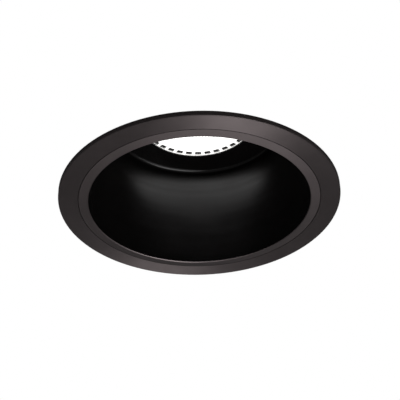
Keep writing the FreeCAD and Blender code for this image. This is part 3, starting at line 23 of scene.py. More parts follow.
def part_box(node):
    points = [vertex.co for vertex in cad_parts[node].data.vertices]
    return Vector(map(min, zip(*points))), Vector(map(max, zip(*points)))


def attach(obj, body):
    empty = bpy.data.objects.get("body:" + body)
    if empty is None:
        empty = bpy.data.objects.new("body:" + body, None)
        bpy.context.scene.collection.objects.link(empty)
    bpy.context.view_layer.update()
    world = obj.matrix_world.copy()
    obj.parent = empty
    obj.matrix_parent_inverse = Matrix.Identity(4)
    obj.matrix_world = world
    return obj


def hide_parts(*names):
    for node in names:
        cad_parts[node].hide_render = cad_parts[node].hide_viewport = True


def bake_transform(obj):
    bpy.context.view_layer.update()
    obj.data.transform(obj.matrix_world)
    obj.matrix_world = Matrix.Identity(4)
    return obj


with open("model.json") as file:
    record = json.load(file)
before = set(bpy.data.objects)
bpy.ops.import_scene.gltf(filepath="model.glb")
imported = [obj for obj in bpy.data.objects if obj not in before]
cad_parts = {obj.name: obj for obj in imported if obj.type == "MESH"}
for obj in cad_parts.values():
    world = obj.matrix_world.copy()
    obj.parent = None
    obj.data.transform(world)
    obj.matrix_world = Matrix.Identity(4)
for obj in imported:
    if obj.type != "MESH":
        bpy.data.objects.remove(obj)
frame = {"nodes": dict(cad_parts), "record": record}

scene = bpy.context.scene
nodes = frame["nodes"]
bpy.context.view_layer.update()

# %% [markdown]
# ## The camera
#
# The light is seen from below, from about 34 degrees under the soffit. A camera could be
# placed by eye, but the outlines of a round face fix it better: four circles of the model
# (rim, seam, opening and the back of the rim) were matched to the ellipses that one sees,
# which gives the distance, the angle, a small roll and the focal length all at once.

# %% Camera
CAMERA_PLACE = (0.0, -0.4315, -0.2963)
CAMERA_DEGREES = (124.350, 1.321, 0.865)
FOCAL_LENGTH_MM = 94.19
SENSOR_WIDTH_MM = 36.0

camera_data = bpy.data.cameras.new("view_from_below")
camera_data.lens = FOCAL_LENGTH_MM
camera_data.sensor_width = SENSOR_WIDTH_MM
camera = bpy.data.objects.new("view_from_below", camera_data)
camera.location = CAMERA_PLACE
camera.rotation_euler = [math.radians(angle) for angle in CAMERA_DEGREES]
scene.collection.objects.link(camera)
scene.camera = camera
face_centre = Vector((0, 0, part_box("trim_ring")[0].z))
print(f"camera {(camera.location - face_centre).length:.3f} m from the face")

# %% [markdown]
# ## Small helpers for node trees
#
# Materials and geometry trees are both built from nodes and links. A few short helpers keep
# the later cells easy to read: they make a node with its values, a group with named inputs
# and outputs, a sum, and the distance from the axis that all the round pieces share.

# %% Node helpers


def add_node(tree, kind, values=(), **settings):
    """A node with its settings, and the values of its input sockets by name or number."""
    node = tree.nodes.new(kind)
    for name, value in settings.items():
        setattr(node, name, value)
    for socket, value in dict(values).items():
        node.inputs[socket].default_value = value
    return node


def shader_group(name, inputs, outputs):
    """An empty shader group with float inputs and outputs, and its two end nodes."""
    tree = bpy.data.node_groups.new(name, "ShaderNodeTree")
    for label, value in inputs.items():
        socket = tree.interface.new_socket(label, in_out="INPUT", socket_type="NodeSocketFloat")
        socket.default_value = value
    for label in outputs:
        tree.interface.new_socket(label, in_out="OUTPUT", socket_type="NodeSocketFloat")
    return tree, tree.nodes.new("NodeGroupInput"), tree.nodes.new("NodeGroupOutput")


def math_node(tree, operation, first, second=None, third=None):
    """A math node fed by sockets or plain numbers; returns its result."""
    node = tree.nodes.new("ShaderNodeMath")
    node.operation = operation
    for place, value in enumerate((first, second, third)):
        if isinstance(value, (int, float)):
            node.inputs[place].default_value = value
        elif value is not None:
            tree.links.new(value, node.inputs[place])
    return node.outputs[0]


def distance_from_axis(tree, place):
    """How far a place lies from the Z axis."""
    flat = add_node(tree, "ShaderNodeVectorMath", {1: (1.0, 1.0, 0.0)}, operation="MULTIPLY")
    tree.links.new(place, flat.inputs[0])
    radius = add_node(tree, "ShaderNodeVectorMath", operation="LENGTH")
    tree.links.new(flat.outputs["Vector"], radius.inputs[0])
    return radius.outputs["Value"]


# %% [markdown]
# ## Three surface effects shared by many finishes
#
# Real surfaces are never even. Powder coat and moulded plastic have a fine grain, a turned
# face has rings left by the lathe tool, and drawn wire and rolled sheet have lines along
# them. Each effect is a group built once. It puts out a shade to multiply the colour with,
# a shift of the roughness and a height for the bump, and every material sets its own sizes.
# All patterns read object coordinates, so they stay fixed on the piece. A scale is a count
# of marks to the metre.

# %% What every effect puts out
MARKS = ("Shade", "Roughness shift", "Height")


def put_out_marks(tree, start, end, centred, swing, height):
    """Put out a pattern centred on nought as a shade and a roughness shift, and a height."""
    shade = math_node(tree, "MULTIPLY_ADD", centred, start.outputs["Contrast"], 1.0)
    tree.links.new(shade, end.inputs["Shade"])
    tree.links.new(math_node(tree, "MULTIPLY", centred, swing), end.inputs["Roughness shift"])
    tree.links.new(height, end.inputs["Height"])


# %% Grain of powder coat, plastic and rubber
CLOUD_SCALE = 35.0
GRAIN_SWING = 0.12


def grain_group():
    """Fine noise of a given size over broad, faint clouds."""
    tree, start, end = shader_group("surface_grain", {"Size": 0.0004, "Contrast": 0.15}, MARKS)
    place = add_node(tree, "ShaderNodeTexCoord").outputs["Object"]
    scale = math_node(tree, "DIVIDE", 1.0, start.outputs["Size"])
    fine = add_node(tree, "ShaderNodeTexNoise", {"Detail": 3.0, "Roughness": 0.6})
    tree.links.new(place, fine.inputs["Vector"])
    tree.links.new(scale, fine.inputs["Scale"])
    cloud = add_node(tree, "ShaderNodeTexNoise", {"Scale": CLOUD_SCALE, "Detail": 2.0})
    tree.links.new(place, cloud.inputs["Vector"])
    both = math_node(tree, "ADD", fine.outputs["Fac"], cloud.outputs["Fac"])
    centred = math_node(tree, "SUBTRACT", both, 1.0)
    put_out_marks(tree, start, end, centred, GRAIN_SWING, fine.outputs["Fac"])
    return tree


GRAIN = grain_group()
print("surface_grain has", len(GRAIN.nodes), "nodes")

# %% Rings left by the lathe
BROAD_SCALE = 60.0
LATHE_SWING = 0.10


def lathe_group():
    """Noise that changes only with the distance from the axis, over broad clouds."""
    tree, start, end = shader_group("lathe_rings", {"Size": 0.0003, "Contrast": 0.2}, MARKS)
    place = add_node(tree, "ShaderNodeTexCoord").outputs["Object"]
    step = math_node(tree, "DIVIDE", distance_from_axis(tree, place), start.outputs["Size"])
    rings = add_node(tree, "ShaderNodeTexNoise", {"Scale": 1.0, "Detail": 2.0}, noise_dimensions="1D")
    tree.links.new(step, rings.inputs["W"])
    broad = add_node(tree, "ShaderNodeTexNoise", {"Scale": BROAD_SCALE, "Detail": 2.0})
    tree.links.new(place, broad.inputs["Vector"])
    both = math_node(tree, "ADD", rings.outputs["Fac"], broad.outputs["Fac"])
    centred = math_node(tree, "SUBTRACT", both, 1.0)
    put_out_marks(tree, start, end, centred, LATHE_SWING, rings.outputs["Fac"])
    return tree


LATHE = lathe_group()
print("lathe_rings has", len(LATHE.nodes), "nodes")

# %% Lines of drawn wire and rolled sheet
LINE_STRETCH = 0.04
SPOT_SCALE = 420.0
SPOT_SHARE = 0.5
DRAWN_MEAN = 0.7
DRAWN_SWING = 0.25


def drawn_group():
    """Noise stretched along Z into lines, with the small spots of a plated surface."""
    tree, start, end = shader_group("drawn_lines", {"Size": 0.0002, "Contrast": 0.25}, MARKS)
    place = add_node(tree, "ShaderNodeTexCoord").outputs["Object"]
    stretch = add_node(tree, "ShaderNodeVectorMath", {1: (1.0, 1.0, LINE_STRETCH)}, operation="MULTIPLY")
    tree.links.new(place, stretch.inputs[0])
    scale = math_node(tree, "DIVIDE", 1.0, start.outputs["Size"])
    lines = add_node(tree, "ShaderNodeTexNoise", {"Detail": 2.0})
    tree.links.new(stretch.outputs["Vector"], lines.inputs["Vector"])
    tree.links.new(scale, lines.inputs["Scale"])
    spots = add_node(tree, "ShaderNodeTexVoronoi", {"Scale": SPOT_SCALE})
    tree.links.new(place, spots.inputs["Vector"])
    both = math_node(tree, "MULTIPLY_ADD", spots.outputs["Distance"], SPOT_SHARE, lines.outputs["Fac"])
    centred = math_node(tree, "SUBTRACT", both, DRAWN_MEAN)
    put_out_marks(tree, start, end, centred, DRAWN_SWING, lines.outputs["Fac"])
    return tree


DRAWN = drawn_group()
print("drawn_lines has", len(DRAWN.nodes), "nodes")

# %% [markdown]
# ## One recipe for all solid finishes
#
# Every finish is a Principled shader whose colour, roughness and bump come from one of the
# three effects. What is the same all over, such as how metallic it is, is set on the
# shader's own socket, because only then does it survive an export to other programs. The
# numbers of a finish are its colour, its roughness, then the size and the contrast of its
# marks, and the height of its relief.

# %% The recipe
FINISHES = {}
SLIGHT_RELIEF = 0.00001


def finish(slot, colour, roughness, effect, size, contrast, relief=SLIGHT_RELIEF, own=()):
    """A material for one slot: an effect group with its sizes, and the shader's own values."""
    material = bpy.data.materials.new(slot)
    material.use_nodes = True
    tree = material.node_tree
    shader = tree.nodes["Principled BSDF"]
    for socket, value in dict(own).items():
        shader.inputs[socket].default_value = value
    marks = add_node(tree, "ShaderNodeGroup", node_tree=effect)
    marks.inputs["Size"].default_value = size
    marks.inputs["Contrast"].default_value = contrast
    tint = add_node(tree, "ShaderNodeMix", data_type="RGBA", blend_type="MULTIPLY")
    tint.inputs["Factor"].default_value = 1.0
    tint.inputs["A"].default_value = (*colour, 1.0)
    tree.links.new(marks.outputs["Shade"], tint.inputs["B"])
    tree.links.new(tint.outputs["Result"], shader.inputs["Base Color"])
    rough = math_node(tree, "ADD", marks.outputs["Roughness shift"], roughness)
    tree.links.new(rough, shader.inputs["Roughness"])
    bump = add_node(tree, "ShaderNodeBump", {"Strength": 1.0, "Distance": relief})
    tree.links.new(marks.outputs["Height"], bump.inputs["Height"])
    tree.links.new(bump.outputs["Normal"], shader.inputs["Normal"])
    material.diffuse_color = (*colour, 1.0)
    FINISHES[slot] = material
    return material


# %% [markdown]
# ## The black turned face
#
# The ring and the lip of the baffle are turned on a lathe and anodised black. Fine grooves
# run round them, so they mirror light in two fans that lie across from each other, like
# the shine on a pan. The anisotropic part of the shader makes those fans on the ring: its
# tangent runs round the Z axis. The colour is a warm grey where light strikes it.

# %% Turned and anodised black
FACE_COLOUR = (0.107, 0.091, 0.092)
FACE_ROUGHNESS = 0.42
LATHE_SHEEN = {"Metallic": 1.0, "Anisotropic": 0.75, "Anisotropic Rotation": 0.25}


def turned_round(material):
    """Let the grooves of a turned surface run round the Z axis."""
    tree = material.node_tree
    round_axis = add_node(tree, "ShaderNodeTangent", direction_type="RADIAL", axis="Z")
    tree.links.new(round_axis.outputs["Tangent"], tree.nodes["Principled BSDF"].inputs["Tangent"])


face_black = finish("black_face", FACE_COLOUR, FACE_ROUGHNESS, LATHE, 0.00025, 0.22,
                    relief=0.000004, own=LATHE_SHEEN)
turned_round(face_black)
print("turned face:", FACE_COLOUR)

# %% [markdown]
# ## The black inside of the cone
#
# The cone has to swallow light, so it is nearly black, yet it is smooth enough to give back
# a blurred image of the lens: that is the soft smoky glow below the lens in the view from
# below. A plain non-metal with a low roughness does this by itself. The lip belongs to the
# same piece, but it is turned and anodised like the ring round it, so a mask that reads the
# distance from the axis tells the two surfaces apart.

# %% The lip of the cone
LIP_EDGE_RADIUS = 0.0552


def lip_group():
    """A mask that is one on the turned lip of the cone and nought on its satin inside."""
    tree, start, end = shader_group("lip_mask", {"Edge radius": LIP_EDGE_RADIUS}, ("Mask",))
    radius = distance_from_axis(tree, add_node(tree, "ShaderNodeTexCoord").outputs["Object"])
    mask = math_node(tree, "GREATER_THAN", radius, start.outputs["Edge radius"])
    tree.links.new(mask, end.inputs["Mask"])
    return tree


LIP = lip_group()
print("lip_mask has", len(LIP.nodes), "nodes")

# %% Satin black cone with a turned lip
CONE_COLOUR = (0.0022, 0.0020, 0.0020)
CONE_ROUGHNESS = 0.20
CONE_MIRROR = {"Specular IOR Level": 0.1}
cone_black = finish("baffle_black", CONE_COLOUR, CONE_ROUGHNESS, LATHE, 0.0005, 0.12,
                    relief=0.0000005, own=CONE_MIRROR)


def add_lip(material):
    """Give the lip, where the mask is one, the colour, roughness and metal of the ring."""
    tree = material.node_tree
    shader = tree.nodes["Principled BSDF"]
    mask = add_node(tree, "ShaderNodeGroup", node_tree=LIP).outputs["Mask"]
    tint = add_node(tree, "ShaderNodeMix", data_type="RGBA")
    tree.links.new(mask, tint.inputs["Factor"])
    tree.links.new(shader.inputs["Base Color"].links[0].from_socket, tint.inputs["A"])
    tint.inputs["B"].default_value = (*FACE_COLOUR, 1.0)
    tree.links.new(tint.outputs["Result"], shader.inputs["Base Color"])
    satin = shader.inputs["Roughness"].links[0].from_socket
    rough = math_node(tree, "MULTIPLY_ADD", mask, FACE_ROUGHNESS - CONE_ROUGHNESS, satin)
    tree.links.new(rough, shader.inputs["Roughness"])
    tree.links.new(mask, shader.inputs["Metallic"])


add_lip(cone_black)
print("cone:", CONE_ROUGHNESS, "rough inside,", FACE_ROUGHNESS, "on the lip")

# %% [markdown]
# ## Finishes above the soffit
#
# The housing is powder coated, the heat sink anodised, the clips zinc plated. Rubber,
# silicone and moulded plastics share the grain effect with different sizes: a seal is dull
# and coarse, a nylon gland has a soft sheen, a printed board is glossy.

# %% Metals
METAL = {"Metallic": 1.0}
ANODISED = {"Metallic": 0.6}
BLACKENED = {"Metallic": 0.5}
finish("housing_black", (0.022, 0.022, 0.023), 0.48, GRAIN, 0.00045, 0.30, relief=0.00003)
finish("sink_metal", (0.055, 0.055, 0.058), 0.42, DRAWN, 0.00025, 0.20, relief=0.000008, own=ANODISED)
finish("bezel_metal", (0.78, 0.78, 0.77), 0.28, LATHE, 0.0002, 0.10, relief=0.000003, own=METAL)
finish("zinc_steel", (0.62, 0.63, 0.64), 0.34, DRAWN, 0.00030, 0.35, relief=0.000006, own=METAL)
finish("spring_steel", (0.42, 0.42, 0.43), 0.30, DRAWN, 0.00015, 0.25, relief=0.000004, own=METAL)
finish("screw_steel", (0.60, 0.60, 0.59), 0.28, GRAIN, 0.00030, 0.15, relief=0.000004, own=METAL)
finish("screw_black", (0.03, 0.03, 0.031), 0.35, GRAIN, 0.00030, 0.20, relief=0.000005, own=BLACKENED)
print(len(FINISHES), "finishes with the metals")

# %% Rubbers and silicones
finish("seal_rubber", (0.030, 0.030, 0.031), 0.78, GRAIN, 0.00050, 0.40, relief=0.00006)
finish("foot_rubber", (0.026, 0.026, 0.027), 0.70, GRAIN, 0.00040, 0.35, relief=0.00004)
finish("silicone", (0.52, 0.53, 0.54), 0.55, GRAIN, 0.00060, 0.12)
print(len(FINISHES), "finishes with the rubbers")

# %% Plastics and the parts of the driver
finish("case_plastic", (0.040, 0.040, 0.042), 0.52, GRAIN, 0.00035, 0.30, relief=0.00004)
finish("gland_nylon", (0.028, 0.028, 0.029), 0.44, GRAIN, 0.00050, 0.20)
finish("holder_plastic", (0.80, 0.80, 0.78), 0.50, GRAIN, 0.00040, 0.06)
finish("board_white", (0.86, 0.86, 0.84), 0.35, GRAIN, 0.00050, 0.05)
finish("ceramic", (0.84, 0.82, 0.76), 0.45, GRAIN, 0.00020, 0.06)
finish("phosphor", (0.90, 0.66, 0.14), 0.30, GRAIN, 0.00015, 0.15)
finish("lead_red", (0.50, 0.03, 0.025), 0.38, GRAIN, 0.00040, 0.12)
finish("lead_black", (0.02, 0.02, 0.02), 0.38, GRAIN, 0.00040, 0.12)
finish("board_green", (0.020, 0.14, 0.055), 0.30, GRAIN, 0.00080, 0.20)
finish("terminal_plastic", (0.06, 0.26, 0.10), 0.45, GRAIN, 0.00040, 0.12)
finish("ferrite", (0.055, 0.055, 0.06), 0.62, GRAIN, 0.00030, 0.30, relief=0.00003)
finish("winding_tape", (0.72, 0.50, 0.07), 0.28, GRAIN, 0.00100, 0.12)
finish("can_sleeve", (0.02, 0.035, 0.10), 0.25, GRAIN, 0.00080, 0.10)
print(len(FINISHES), "finishes with the plastics")

# %% [markdown]
# ## The lens
#
# The lens is a clear moulded optic with a field of small beads on its face. When the light
# is on it is by far the brightest thing. Its face gives off light itself, and the beads give
# off twice as much as the face between them.

# %% Lens material
LENS_COLOUR = (0.80, 0.80, 0.80)
LENS_ROUGHNESS = 0.16
LENS_LIGHT = (1.0, 0.985, 0.96, 1.0)
LENS_GLOW = 0.95
BEAD_GLOW = 1.9


def glowing(name, strength):
    """Clear moulded plastic lit from behind: it gives off a near white light."""
    light = {"Emission Color": LENS_LIGHT, "Emission Strength": strength}
    return finish(name, LENS_COLOUR, LENS_ROUGHNESS, GRAIN, 0.00060, 0.04, relief=0.000004, own=light)


glowing("lens_clear", LENS_GLOW)
lens_bead = glowing("lens_bead", BEAD_GLOW)
print(f"lens gives off {LENS_GLOW}, its beads {BEAD_GLOW}")

# %% [markdown]
# ## Dress the solid pieces
#
# The record says which finish each node has, so a single loop gives every node its own.

# %% Assign the finishes
slot_of = {entry["node"]: entry["material_slot"] for entry in frame["record"]["subparts"]}
for name, node in nodes.items():
    node.data.materials.clear()
    node.data.materials.append(FINISHES[slot_of[name]])
print(f"{len(nodes)} nodes dressed in {len(set(slot_of.values()))} finishes")

# %% [markdown]
# ## Turn geometry trees into plain meshes
#
# Geometry Nodes suit what repeats or follows a path: the sizes stay named inputs, and one
# change remakes all copies. The finished piece has to be a plain mesh, though, so each tree
# runs once on a helper object and its result is read back.

# %% Geometry helpers


def geometry_group(name, inputs):
    """A geometry tree with named float or whole-number inputs, and its two end nodes."""
    tree = bpy.data.node_groups.new(name, "GeometryNodeTree")
    tree.interface.new_socket("Geometry", in_out="INPUT", socket_type="NodeSocketGeometry")
    for label, value in inputs.items():
        kind = "NodeSocketInt" if isinstance(value, int) else "NodeSocketFloat"
        tree.interface.new_socket(label, in_out="INPUT", socket_type=kind).default_value = value
    tree.interface.new_socket("Geometry", in_out="OUTPUT", socket_type="NodeSocketGeometry")
    return tree, tree.nodes.new("NodeGroupInput"), tree.nodes.new("NodeGroupOutput")


def closing(tree, geometry, material, end):
    """Realize the instances, set the material and end the tree."""
    real = add_node(tree, "GeometryNodeRealizeInstances")
    tree.links.new(geometry, real.inputs[0])
    painted = add_node(tree, "GeometryNodeSetMaterial", {"Material": material})
    tree.links.new(real.outputs[0], painted.inputs["Geometry"])
    tree.links.new(painted.outputs[0], end.inputs[0])


def grown(name, base, tree, values=()):
    """The plain mesh that a geometry tree makes on a base object, as a new piece."""
    holder = bpy.data.objects.new("helper_" + name, base)
    scene.collection.objects.link(holder)
    modifier = holder.modifiers.new("grow", "NODES")
    modifier.node_group = tree
    identifiers = {item.name: item.identifier for item in tree.interface.items_tree
                   if item.in_out == "INPUT"}
    for label, value in dict(values).items():
        modifier[identifiers[label]] = value
    shown = holder.evaluated_get(bpy.context.evaluated_depsgraph_get())
    mesh = bpy.data.meshes.new_from_object(shown)
    mesh.name = name
    bpy.data.objects.remove(holder)
    piece = bpy.data.objects.new(name, mesh)
    scene.collection.objects.link(piece)
    print(f"{name}: {len(mesh.vertices)} points, {len(mesh.polygons)} faces")
    return piece


# %% [markdown]
# ## Torsion springs
#
# Each arm is pushed by a spring wound round its hinge pin. One leg lies along the bracket,
# the other follows the arm. The wire is a path of points on a helix with two straight legs,
# and a geometry tree lays a round section along it.

# %% Wire tree


def wire_group():
    """A round wire of a given radius laid along a path, with closed ends."""
    tree, start, end = geometry_group("wound_wire", {"Wire radius": 0.00045, "Sides": 14})
    section = add_node(tree, "GeometryNodeCurvePrimitiveCircle")
    tree.links.new(start.outputs["Sides"], section.inputs["Resolution"])
    tree.links.new(start.outputs["Wire radius"], section.inputs["Radius"])
    wire = add_node(tree, "GeometryNodeCurveToMesh", {"Fill Caps": True})
    tree.links.new(start.outputs["Geometry"], wire.inputs["Curve"])
    tree.links.new(section.outputs["Curve"], wire.inputs["Profile Curve"])
    smooth = add_node(tree, "GeometryNodeSetShadeSmooth")
    tree.links.new(wire.outputs["Mesh"], smooth.inputs[0])
    closing(tree, smooth.outputs[0], FINISHES["spring_steel"], end)
    return tree


WIRE = wire_group()
print("wound_wire has", len(WIRE.nodes), "nodes")

# %% Path of the wire
hinges = {joint["name"]: joint for joint in frame["record"]["behaviour"]["joints"]}
PIN = Vector(hinges["clip_right_fold"]["pos_m"])
REST_TURN = math.radians(57.8)
SPRING_RADIUS = 0.00245
SPRING_PITCH = 0.0015
SPRING_SWEEP = 4 * math.tau + math.radians(90) + REST_TURN
FIXED_LEG = 0.0085
MOVING_LEG = 0.0135
LEG_SHARES = (0.2, 0.6, 1.0)
STEPS_PER_TURN = 40


def spring_points():
    """Points of the wire on the right side: leg, helix round the pin, leg."""
    width = SPRING_PITCH * SPRING_SWEEP / math.tau
    steps = round(STEPS_PER_TURN * SPRING_SWEEP / math.tau)
    helix = []
    for step in range(steps + 1):
        angle = math.pi - SPRING_SWEEP * step / steps
        along = width * (step / steps - 0.5)
        spot = (SPRING_RADIUS * math.cos(angle), along, SPRING_RADIUS * math.sin(angle))
        helix.append(PIN + Vector(spot))
    first_way = (helix[1] - helix[0]).normalized()
    last_way = (helix[-1] - helix[-2]).normalized()
    leg_in = [helix[0] - first_way * FIXED_LEG * share for share in reversed(LEG_SHARES)]
    leg_out = [helix[-1] + last_way * MOVING_LEG * share for share in LEG_SHARES]
    return leg_in + helix + leg_out, width


points, coil_width = spring_points()
print(f"{SPRING_SWEEP / math.tau:.2f} turns, {coil_width * 1000:.1f} mm wide")

# %% Wind the two springs
for side, sign in (("right", 1), ("left", -1)):
    path = bpy.data.curves.new("spring_path", "CURVE")
    path.dimensions = "3D"
    line = path.splines.new("POLY")
    line.points.add(len(points) - 1)
    for place, point in zip(line.points, points):
        place.co = (sign * point.x, sign * point.y, point.z, 1.0)
    spring = grown("torsion_spring_wire_" + side, path, WIRE)
    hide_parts("torsion_spring_" + side)
    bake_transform(spring)

# %% [markdown]
# ## Beads on the face of the lens
#
# Such a lens carries a field of tiny round beads that mix the light. They are rows of
# flattened balls, every second row shifted by half a step, kept inside the rim. Hundreds of
# copies need few faces each, so a small ball of a few dozen faces is enough.

# %% Bead tree
ROW_SHARE = math.sqrt(0.75)
BALL_FACES = {"Segments": 10, "Rings": 6}
BEAD_FLATNESS = (1.0, 1.0, 0.3)


def bead_group():
    """Flattened balls on a grid whose odd rows are shifted, inside a round field."""
    inputs = {"Field radius": 0.0262, "Pitch": 0.0017, "Bead radius": 0.00068,
              "Level": 0.0506, "Rows": 36}
    tree, start, end = geometry_group("lens_beads", inputs)
    size = math_node(tree, "MULTIPLY", start.outputs["Pitch"], start.outputs["Rows"])
    short = math_node(tree, "MULTIPLY", size, ROW_SHARE)
    grid = add_node(tree, "GeometryNodeMeshGrid")
    for socket in ("Vertices X", "Vertices Y"):
        tree.links.new(start.outputs["Rows"], grid.inputs[socket])
    tree.links.new(size, grid.inputs["Size X"])
    tree.links.new(short, grid.inputs["Size Y"])
    place = add_node(tree, "GeometryNodeInputPosition")
    index = add_node(tree, "GeometryNodeInputIndex")
    parts = add_node(tree, "ShaderNodeSeparateXYZ")
    tree.links.new(place.outputs[0], parts.inputs[0])
    row = math_node(tree, "MODULO", index.outputs[0], start.outputs["Rows"])
    odd = math_node(tree, "MODULO", row, 2.0)
    half_step = math_node(tree, "MULTIPLY", start.outputs["Pitch"], 0.5)
    shift = math_node(tree, "MULTIPLY", odd, half_step)
    spot = add_node(tree, "ShaderNodeCombineXYZ")
    tree.links.new(math_node(tree, "ADD", parts.outputs["X"], shift), spot.inputs["X"])
    tree.links.new(parts.outputs["Y"], spot.inputs["Y"])
    tree.links.new(start.outputs["Level"], spot.inputs["Z"])
    moved = add_node(tree, "GeometryNodeSetPosition")
    tree.links.new(grid.outputs["Mesh"], moved.inputs["Geometry"])
    tree.links.new(spot.outputs[0], moved.inputs["Position"])
    radius = distance_from_axis(tree, add_node(tree, "GeometryNodeInputPosition").outputs[0])
    inside = math_node(tree, "LESS_THAN", radius, start.outputs["Field radius"])
    ball = add_node(tree, "GeometryNodeMeshUVSphere", BALL_FACES)
    tree.links.new(start.outputs["Bead radius"], ball.inputs["Radius"])
    beads = add_node(tree, "GeometryNodeInstanceOnPoints", {"Scale": BEAD_FLATNESS})
    tree.links.new(moved.outputs[0], beads.inputs["Points"])
    tree.links.new(inside, beads.inputs["Selection"])
    tree.links.new(ball.outputs["Mesh"], beads.inputs["Instance"])
    smooth = add_node(tree, "GeometryNodeSetShadeSmooth")
    tree.links.new(beads.outputs[0], smooth.inputs[0])
    closing(tree, smooth.outputs[0], lens_bead, end)
    return tree


# %% Set the beads on the lens
lens_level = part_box("lens")[0].z
beads = grown("lens_beads", bpy.data.meshes.new("bead_base"), bead_group(), {"Level": lens_level})
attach(beads, "root")

# %% [markdown]
# ## Grip ribs on the rubber feet
#
# The feet of the arms press on the upper side of the soffit. Fine ribs across their round
# nose keep them from sliding. A tree sets one slim round rod on each point of a short arc
# round the nose, and the two sets of ribs ride on their arms.

# %% Rib tree
RIB_SPAN = math.radians(132)


def rib_group():
    """Slim rods side by side on an arc that is centred on the X axis."""
    inputs = {"Ribs": 7, "Rib radius": 0.0003, "Rib length": 0.0122, "Nose radius": 0.0027}
    tree, start, end = geometry_group("foot_ribs", inputs)
    arc = add_node(tree, "GeometryNodeCurveArc", {"Start Angle": -RIB_SPAN / 2, "Sweep Angle": RIB_SPAN})
    tree.links.new(start.outputs["Ribs"], arc.inputs["Resolution"])
    tree.links.new(start.outputs["Nose radius"], arc.inputs["Radius"])
    rod = add_node(tree, "GeometryNodeMeshCylinder", {"Vertices": 10, "Side Segments": 1})
    tree.links.new(start.outputs["Rib radius"], rod.inputs["Radius"])
    tree.links.new(start.outputs["Rib length"], rod.inputs["Depth"])
    ribs = add_node(tree, "GeometryNodeInstanceOnPoints")
    tree.links.new(arc.outputs["Curve"], ribs.inputs["Points"])
    tree.links.new(rod.outputs["Mesh"], ribs.inputs["Instance"])
    closing(tree, ribs.outputs[0], FINISHES["foot_rubber"], end)
    return tree


RIBS = rib_group()
print("foot_ribs has", len(RIBS.nodes), "nodes")

# %% Set the ribs on the feet
NOSE_REACH = 0.052
upright = Matrix.Rotation(math.radians(90), 4, "X")
nose = Matrix.Translation((NOSE_REACH, 0, 0)) @ upright
at_rest = Matrix.Translation(PIN) @ Matrix.Rotation(REST_TURN, 4, "Y")
for side, turn in (("right", 0.0), ("left", math.pi)):
    ribs = grown("foot_ribs_" + side, bpy.data.meshes.new("rib_base"), RIBS)
    ribs.data.transform(Matrix.Rotation(turn, 4, "Z") @ at_rest @ nose)
    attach(ribs, "clip_" + side)

# %% [markdown]
# ## The soffit and the floor
#
# The light is seen in place, so a white soffit hides what stands above it. It is a flat
# sheet with the cut-out, white to the camera from below and clear from above, so that the
# housing can also be looked at from above. To every other ray it is a dark grey, so that it
# throws little light back on the ring. The floor lies far below and is pale.

# %% Stage materials
PALE = (0.86, 0.86, 0.86, 1.0)
DARK = (0.10, 0.10, 0.10, 1.0)


def matt_material(name, colour):
    """A plain dull surface without gloss."""
    material = bpy.data.materials.new(name)
    material.use_nodes = True
    shader = material.node_tree.nodes["Principled BSDF"]
    shader.inputs["Base Color"].default_value = colour
    shader.inputs["Roughness"].default_value = 0.9
    shader.inputs["Specular IOR Level"].default_value = 0.0
    return material


def show_one_side(material):
    """Make a matt surface white to the camera on its front, and clear from its back."""
    tree = material.node_tree
    white = add_node(tree, "ShaderNodeEmission")
    clear = add_node(tree, "ShaderNodeBsdfTransparent")
    rays = add_node(tree, "ShaderNodeLightPath")
    faces = add_node(tree, "ShaderNodeNewGeometry")
    seen = tree.nodes.new("ShaderNodeMixShader")
    sides = tree.nodes.new("ShaderNodeMixShader")
    tree.links.new(rays.outputs["Is Camera Ray"], seen.inputs[0])
    tree.links.new(tree.nodes["Principled BSDF"].outputs[0], seen.inputs[1])
    tree.links.new(white.outputs[0], seen.inputs[2])
    tree.links.new(faces.outputs["Backfacing"], sides.inputs[0])
    tree.links.new(seen.outputs[0], sides.inputs[1])
    tree.links.new(clear.outputs[0], sides.inputs[2])
    tree.links.new(sides.outputs[0], tree.nodes["Material Output"].inputs["Surface"])


soffit_white = matt_material("soffit_white", DARK)
show_one_side(soffit_white)
floor_pale = matt_material("floor_pale", PALE)
print("stage materials:", soffit_white.name, "and", floor_pale.name)

# %% Soffit sheet and floor
CUT_OUT_RADIUS = 0.0625
SHEET_RADIUS = 0.6
SHEET_SIDES = 96
FLOOR_REACH = 6
FLOOR_LEVEL = -1.3


def stage_piece(name, shape, material):
    """An object of the stage from a shape and a material."""
    mesh = bpy.data.meshes.new(name)
    shape.to_mesh(mesh)
    mesh.materials.append(material)
    return bpy.data.objects.new(name, mesh)


def soffit_sheet():
    """A flat sheet at the soffit's level with the round cut-out, facing down."""
    shape = bmesh.new()
    inner = []
    outer = []
    for step in range(SHEET_SIDES):
        angle = math.tau * step / SHEET_SIDES
        way = Vector((math.cos(angle), math.sin(angle), 0))
        inner.append(shape.verts.new(way * CUT_OUT_RADIUS))
        outer.append(shape.verts.new(way * SHEET_RADIUS))
    for step in range(SHEET_SIDES):
        after = (step + 1) % SHEET_SIDES
        shape.faces.new((inner[step], inner[after], outer[after], outer[step]))
    return stage_piece("soffit_sheet", shape, soffit_white)


def pale_floor():
    """A wide square floor far below the soffit."""
    shape = bmesh.new()
    corners = [(-FLOOR_REACH, -FLOOR_REACH), (FLOOR_REACH, -FLOOR_REACH),
               (FLOOR_REACH, FLOOR_REACH), (-FLOOR_REACH, FLOOR_REACH)]
    shape.faces.new([shape.verts.new((across, along, FLOOR_LEVEL)) for across, along in corners])
    return stage_piece("pale_floor", shape, floor_pale)


for backdrop in (soffit_sheet(), pale_floor()):
    scene.collection.objects.link(backdrop)
    print(backdrop.name, "faces", tuple(round(v) for v in backdrop.data.polygons[0].normal))

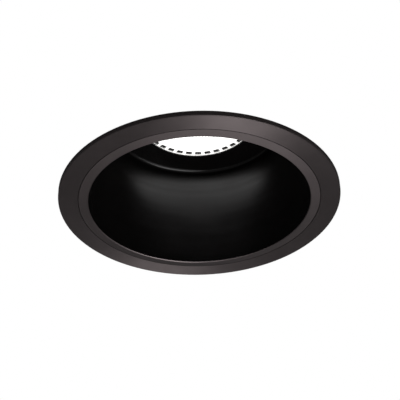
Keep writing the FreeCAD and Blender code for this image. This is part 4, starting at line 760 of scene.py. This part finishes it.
# %% [markdown]
# ## Light
#
# A small round lamp just under the lens throws its light into the cone, and is itself
# hidden from the camera. A big soft lamp below, a little right of the middle, draws the two
# fans on the turned face. Three more above the soffit light the housing and the arms. The
# world gives off a faint soft light, and is white only where the camera sees it, by itself
# or through something clear.

# %% World
WORLD_STRENGTH = 0.13
WHITE = (1.0, 1.0, 1.0, 1.0)


def studio_world():
    """A faint white world that is full white to the camera."""
    world = bpy.data.worlds.new("studio")
    world.use_nodes = True
    tree = world.node_tree
    soft = tree.nodes["Background"]
    soft.inputs["Color"].default_value = WHITE
    soft.inputs["Strength"].default_value = WORLD_STRENGTH
    white = add_node(tree, "ShaderNodeBackground", {"Color": WHITE, "Strength": 1.0})
    rays = add_node(tree, "ShaderNodeLightPath").outputs
    seen = math_node(tree, "MAXIMUM", rays["Is Camera Ray"], rays["Is Transmission Ray"])
    either = tree.nodes.new("ShaderNodeMixShader")
    tree.links.new(seen, either.inputs[0])
    tree.links.new(soft.outputs[0], either.inputs[1])
    tree.links.new(white.outputs[0], either.inputs[2])
    tree.links.new(either.outputs[0], tree.nodes["World Output"].inputs["Surface"])
    return world


scene.world = studio_world()
scene.view_settings.view_transform = "Standard"
print("world strength", WORLD_STRENGTH)

# %% Lamps
CUT_OUT_CENTRE = (0, 0, 0)
HOUSING_MIDDLE = (0, 0, 0.06)
LENS_LAMP_LEVEL = 0.0475
LENS_LAMP_SIZE = 0.053
BIG_LAMP_SIZE = 0.45
UPPER_LAMP_SIZE = 0.9


def soft_lamp(name, place, aim, size, power):
    """A square area lamp of a given power in watts, turned to what it lights."""
    lamp = bpy.data.lights.new(name, "AREA")
    lamp.shape = "SQUARE"
    lamp.size = size
    lamp.energy = power
    stand = bpy.data.objects.new(name, lamp)
    stand.location = place
    stand.rotation_euler = (Vector(aim) - Vector(place)).to_track_quat("-Z", "Y").to_euler()
    scene.collection.objects.link(stand)
    print(f"{name}: {power} W at {tuple(place)}")
    return stand


lens_lamp = soft_lamp("lens_light", (0, 0, LENS_LAMP_LEVEL), CUT_OUT_CENTRE, LENS_LAMP_SIZE, 0.025)
lens_lamp.data.shape = "DISK"
lens_lamp.visible_camera = False

soft_lamp("lamp_below", (0.24, 0.05, -0.95), CUT_OUT_CENTRE, BIG_LAMP_SIZE, 7.0)
soft_lamp("lamp_above_front", (0.7, -0.9, 1.1), HOUSING_MIDDLE, UPPER_LAMP_SIZE, 22.0)
soft_lamp("lamp_above_left", (-1.1, 0.2, 0.8), HOUSING_MIDDLE, UPPER_LAMP_SIZE, 9.0)
soft_lamp("lamp_above_back", (0.2, 1.2, 0.9), HOUSING_MIDDLE, UPPER_LAMP_SIZE, 8.0)
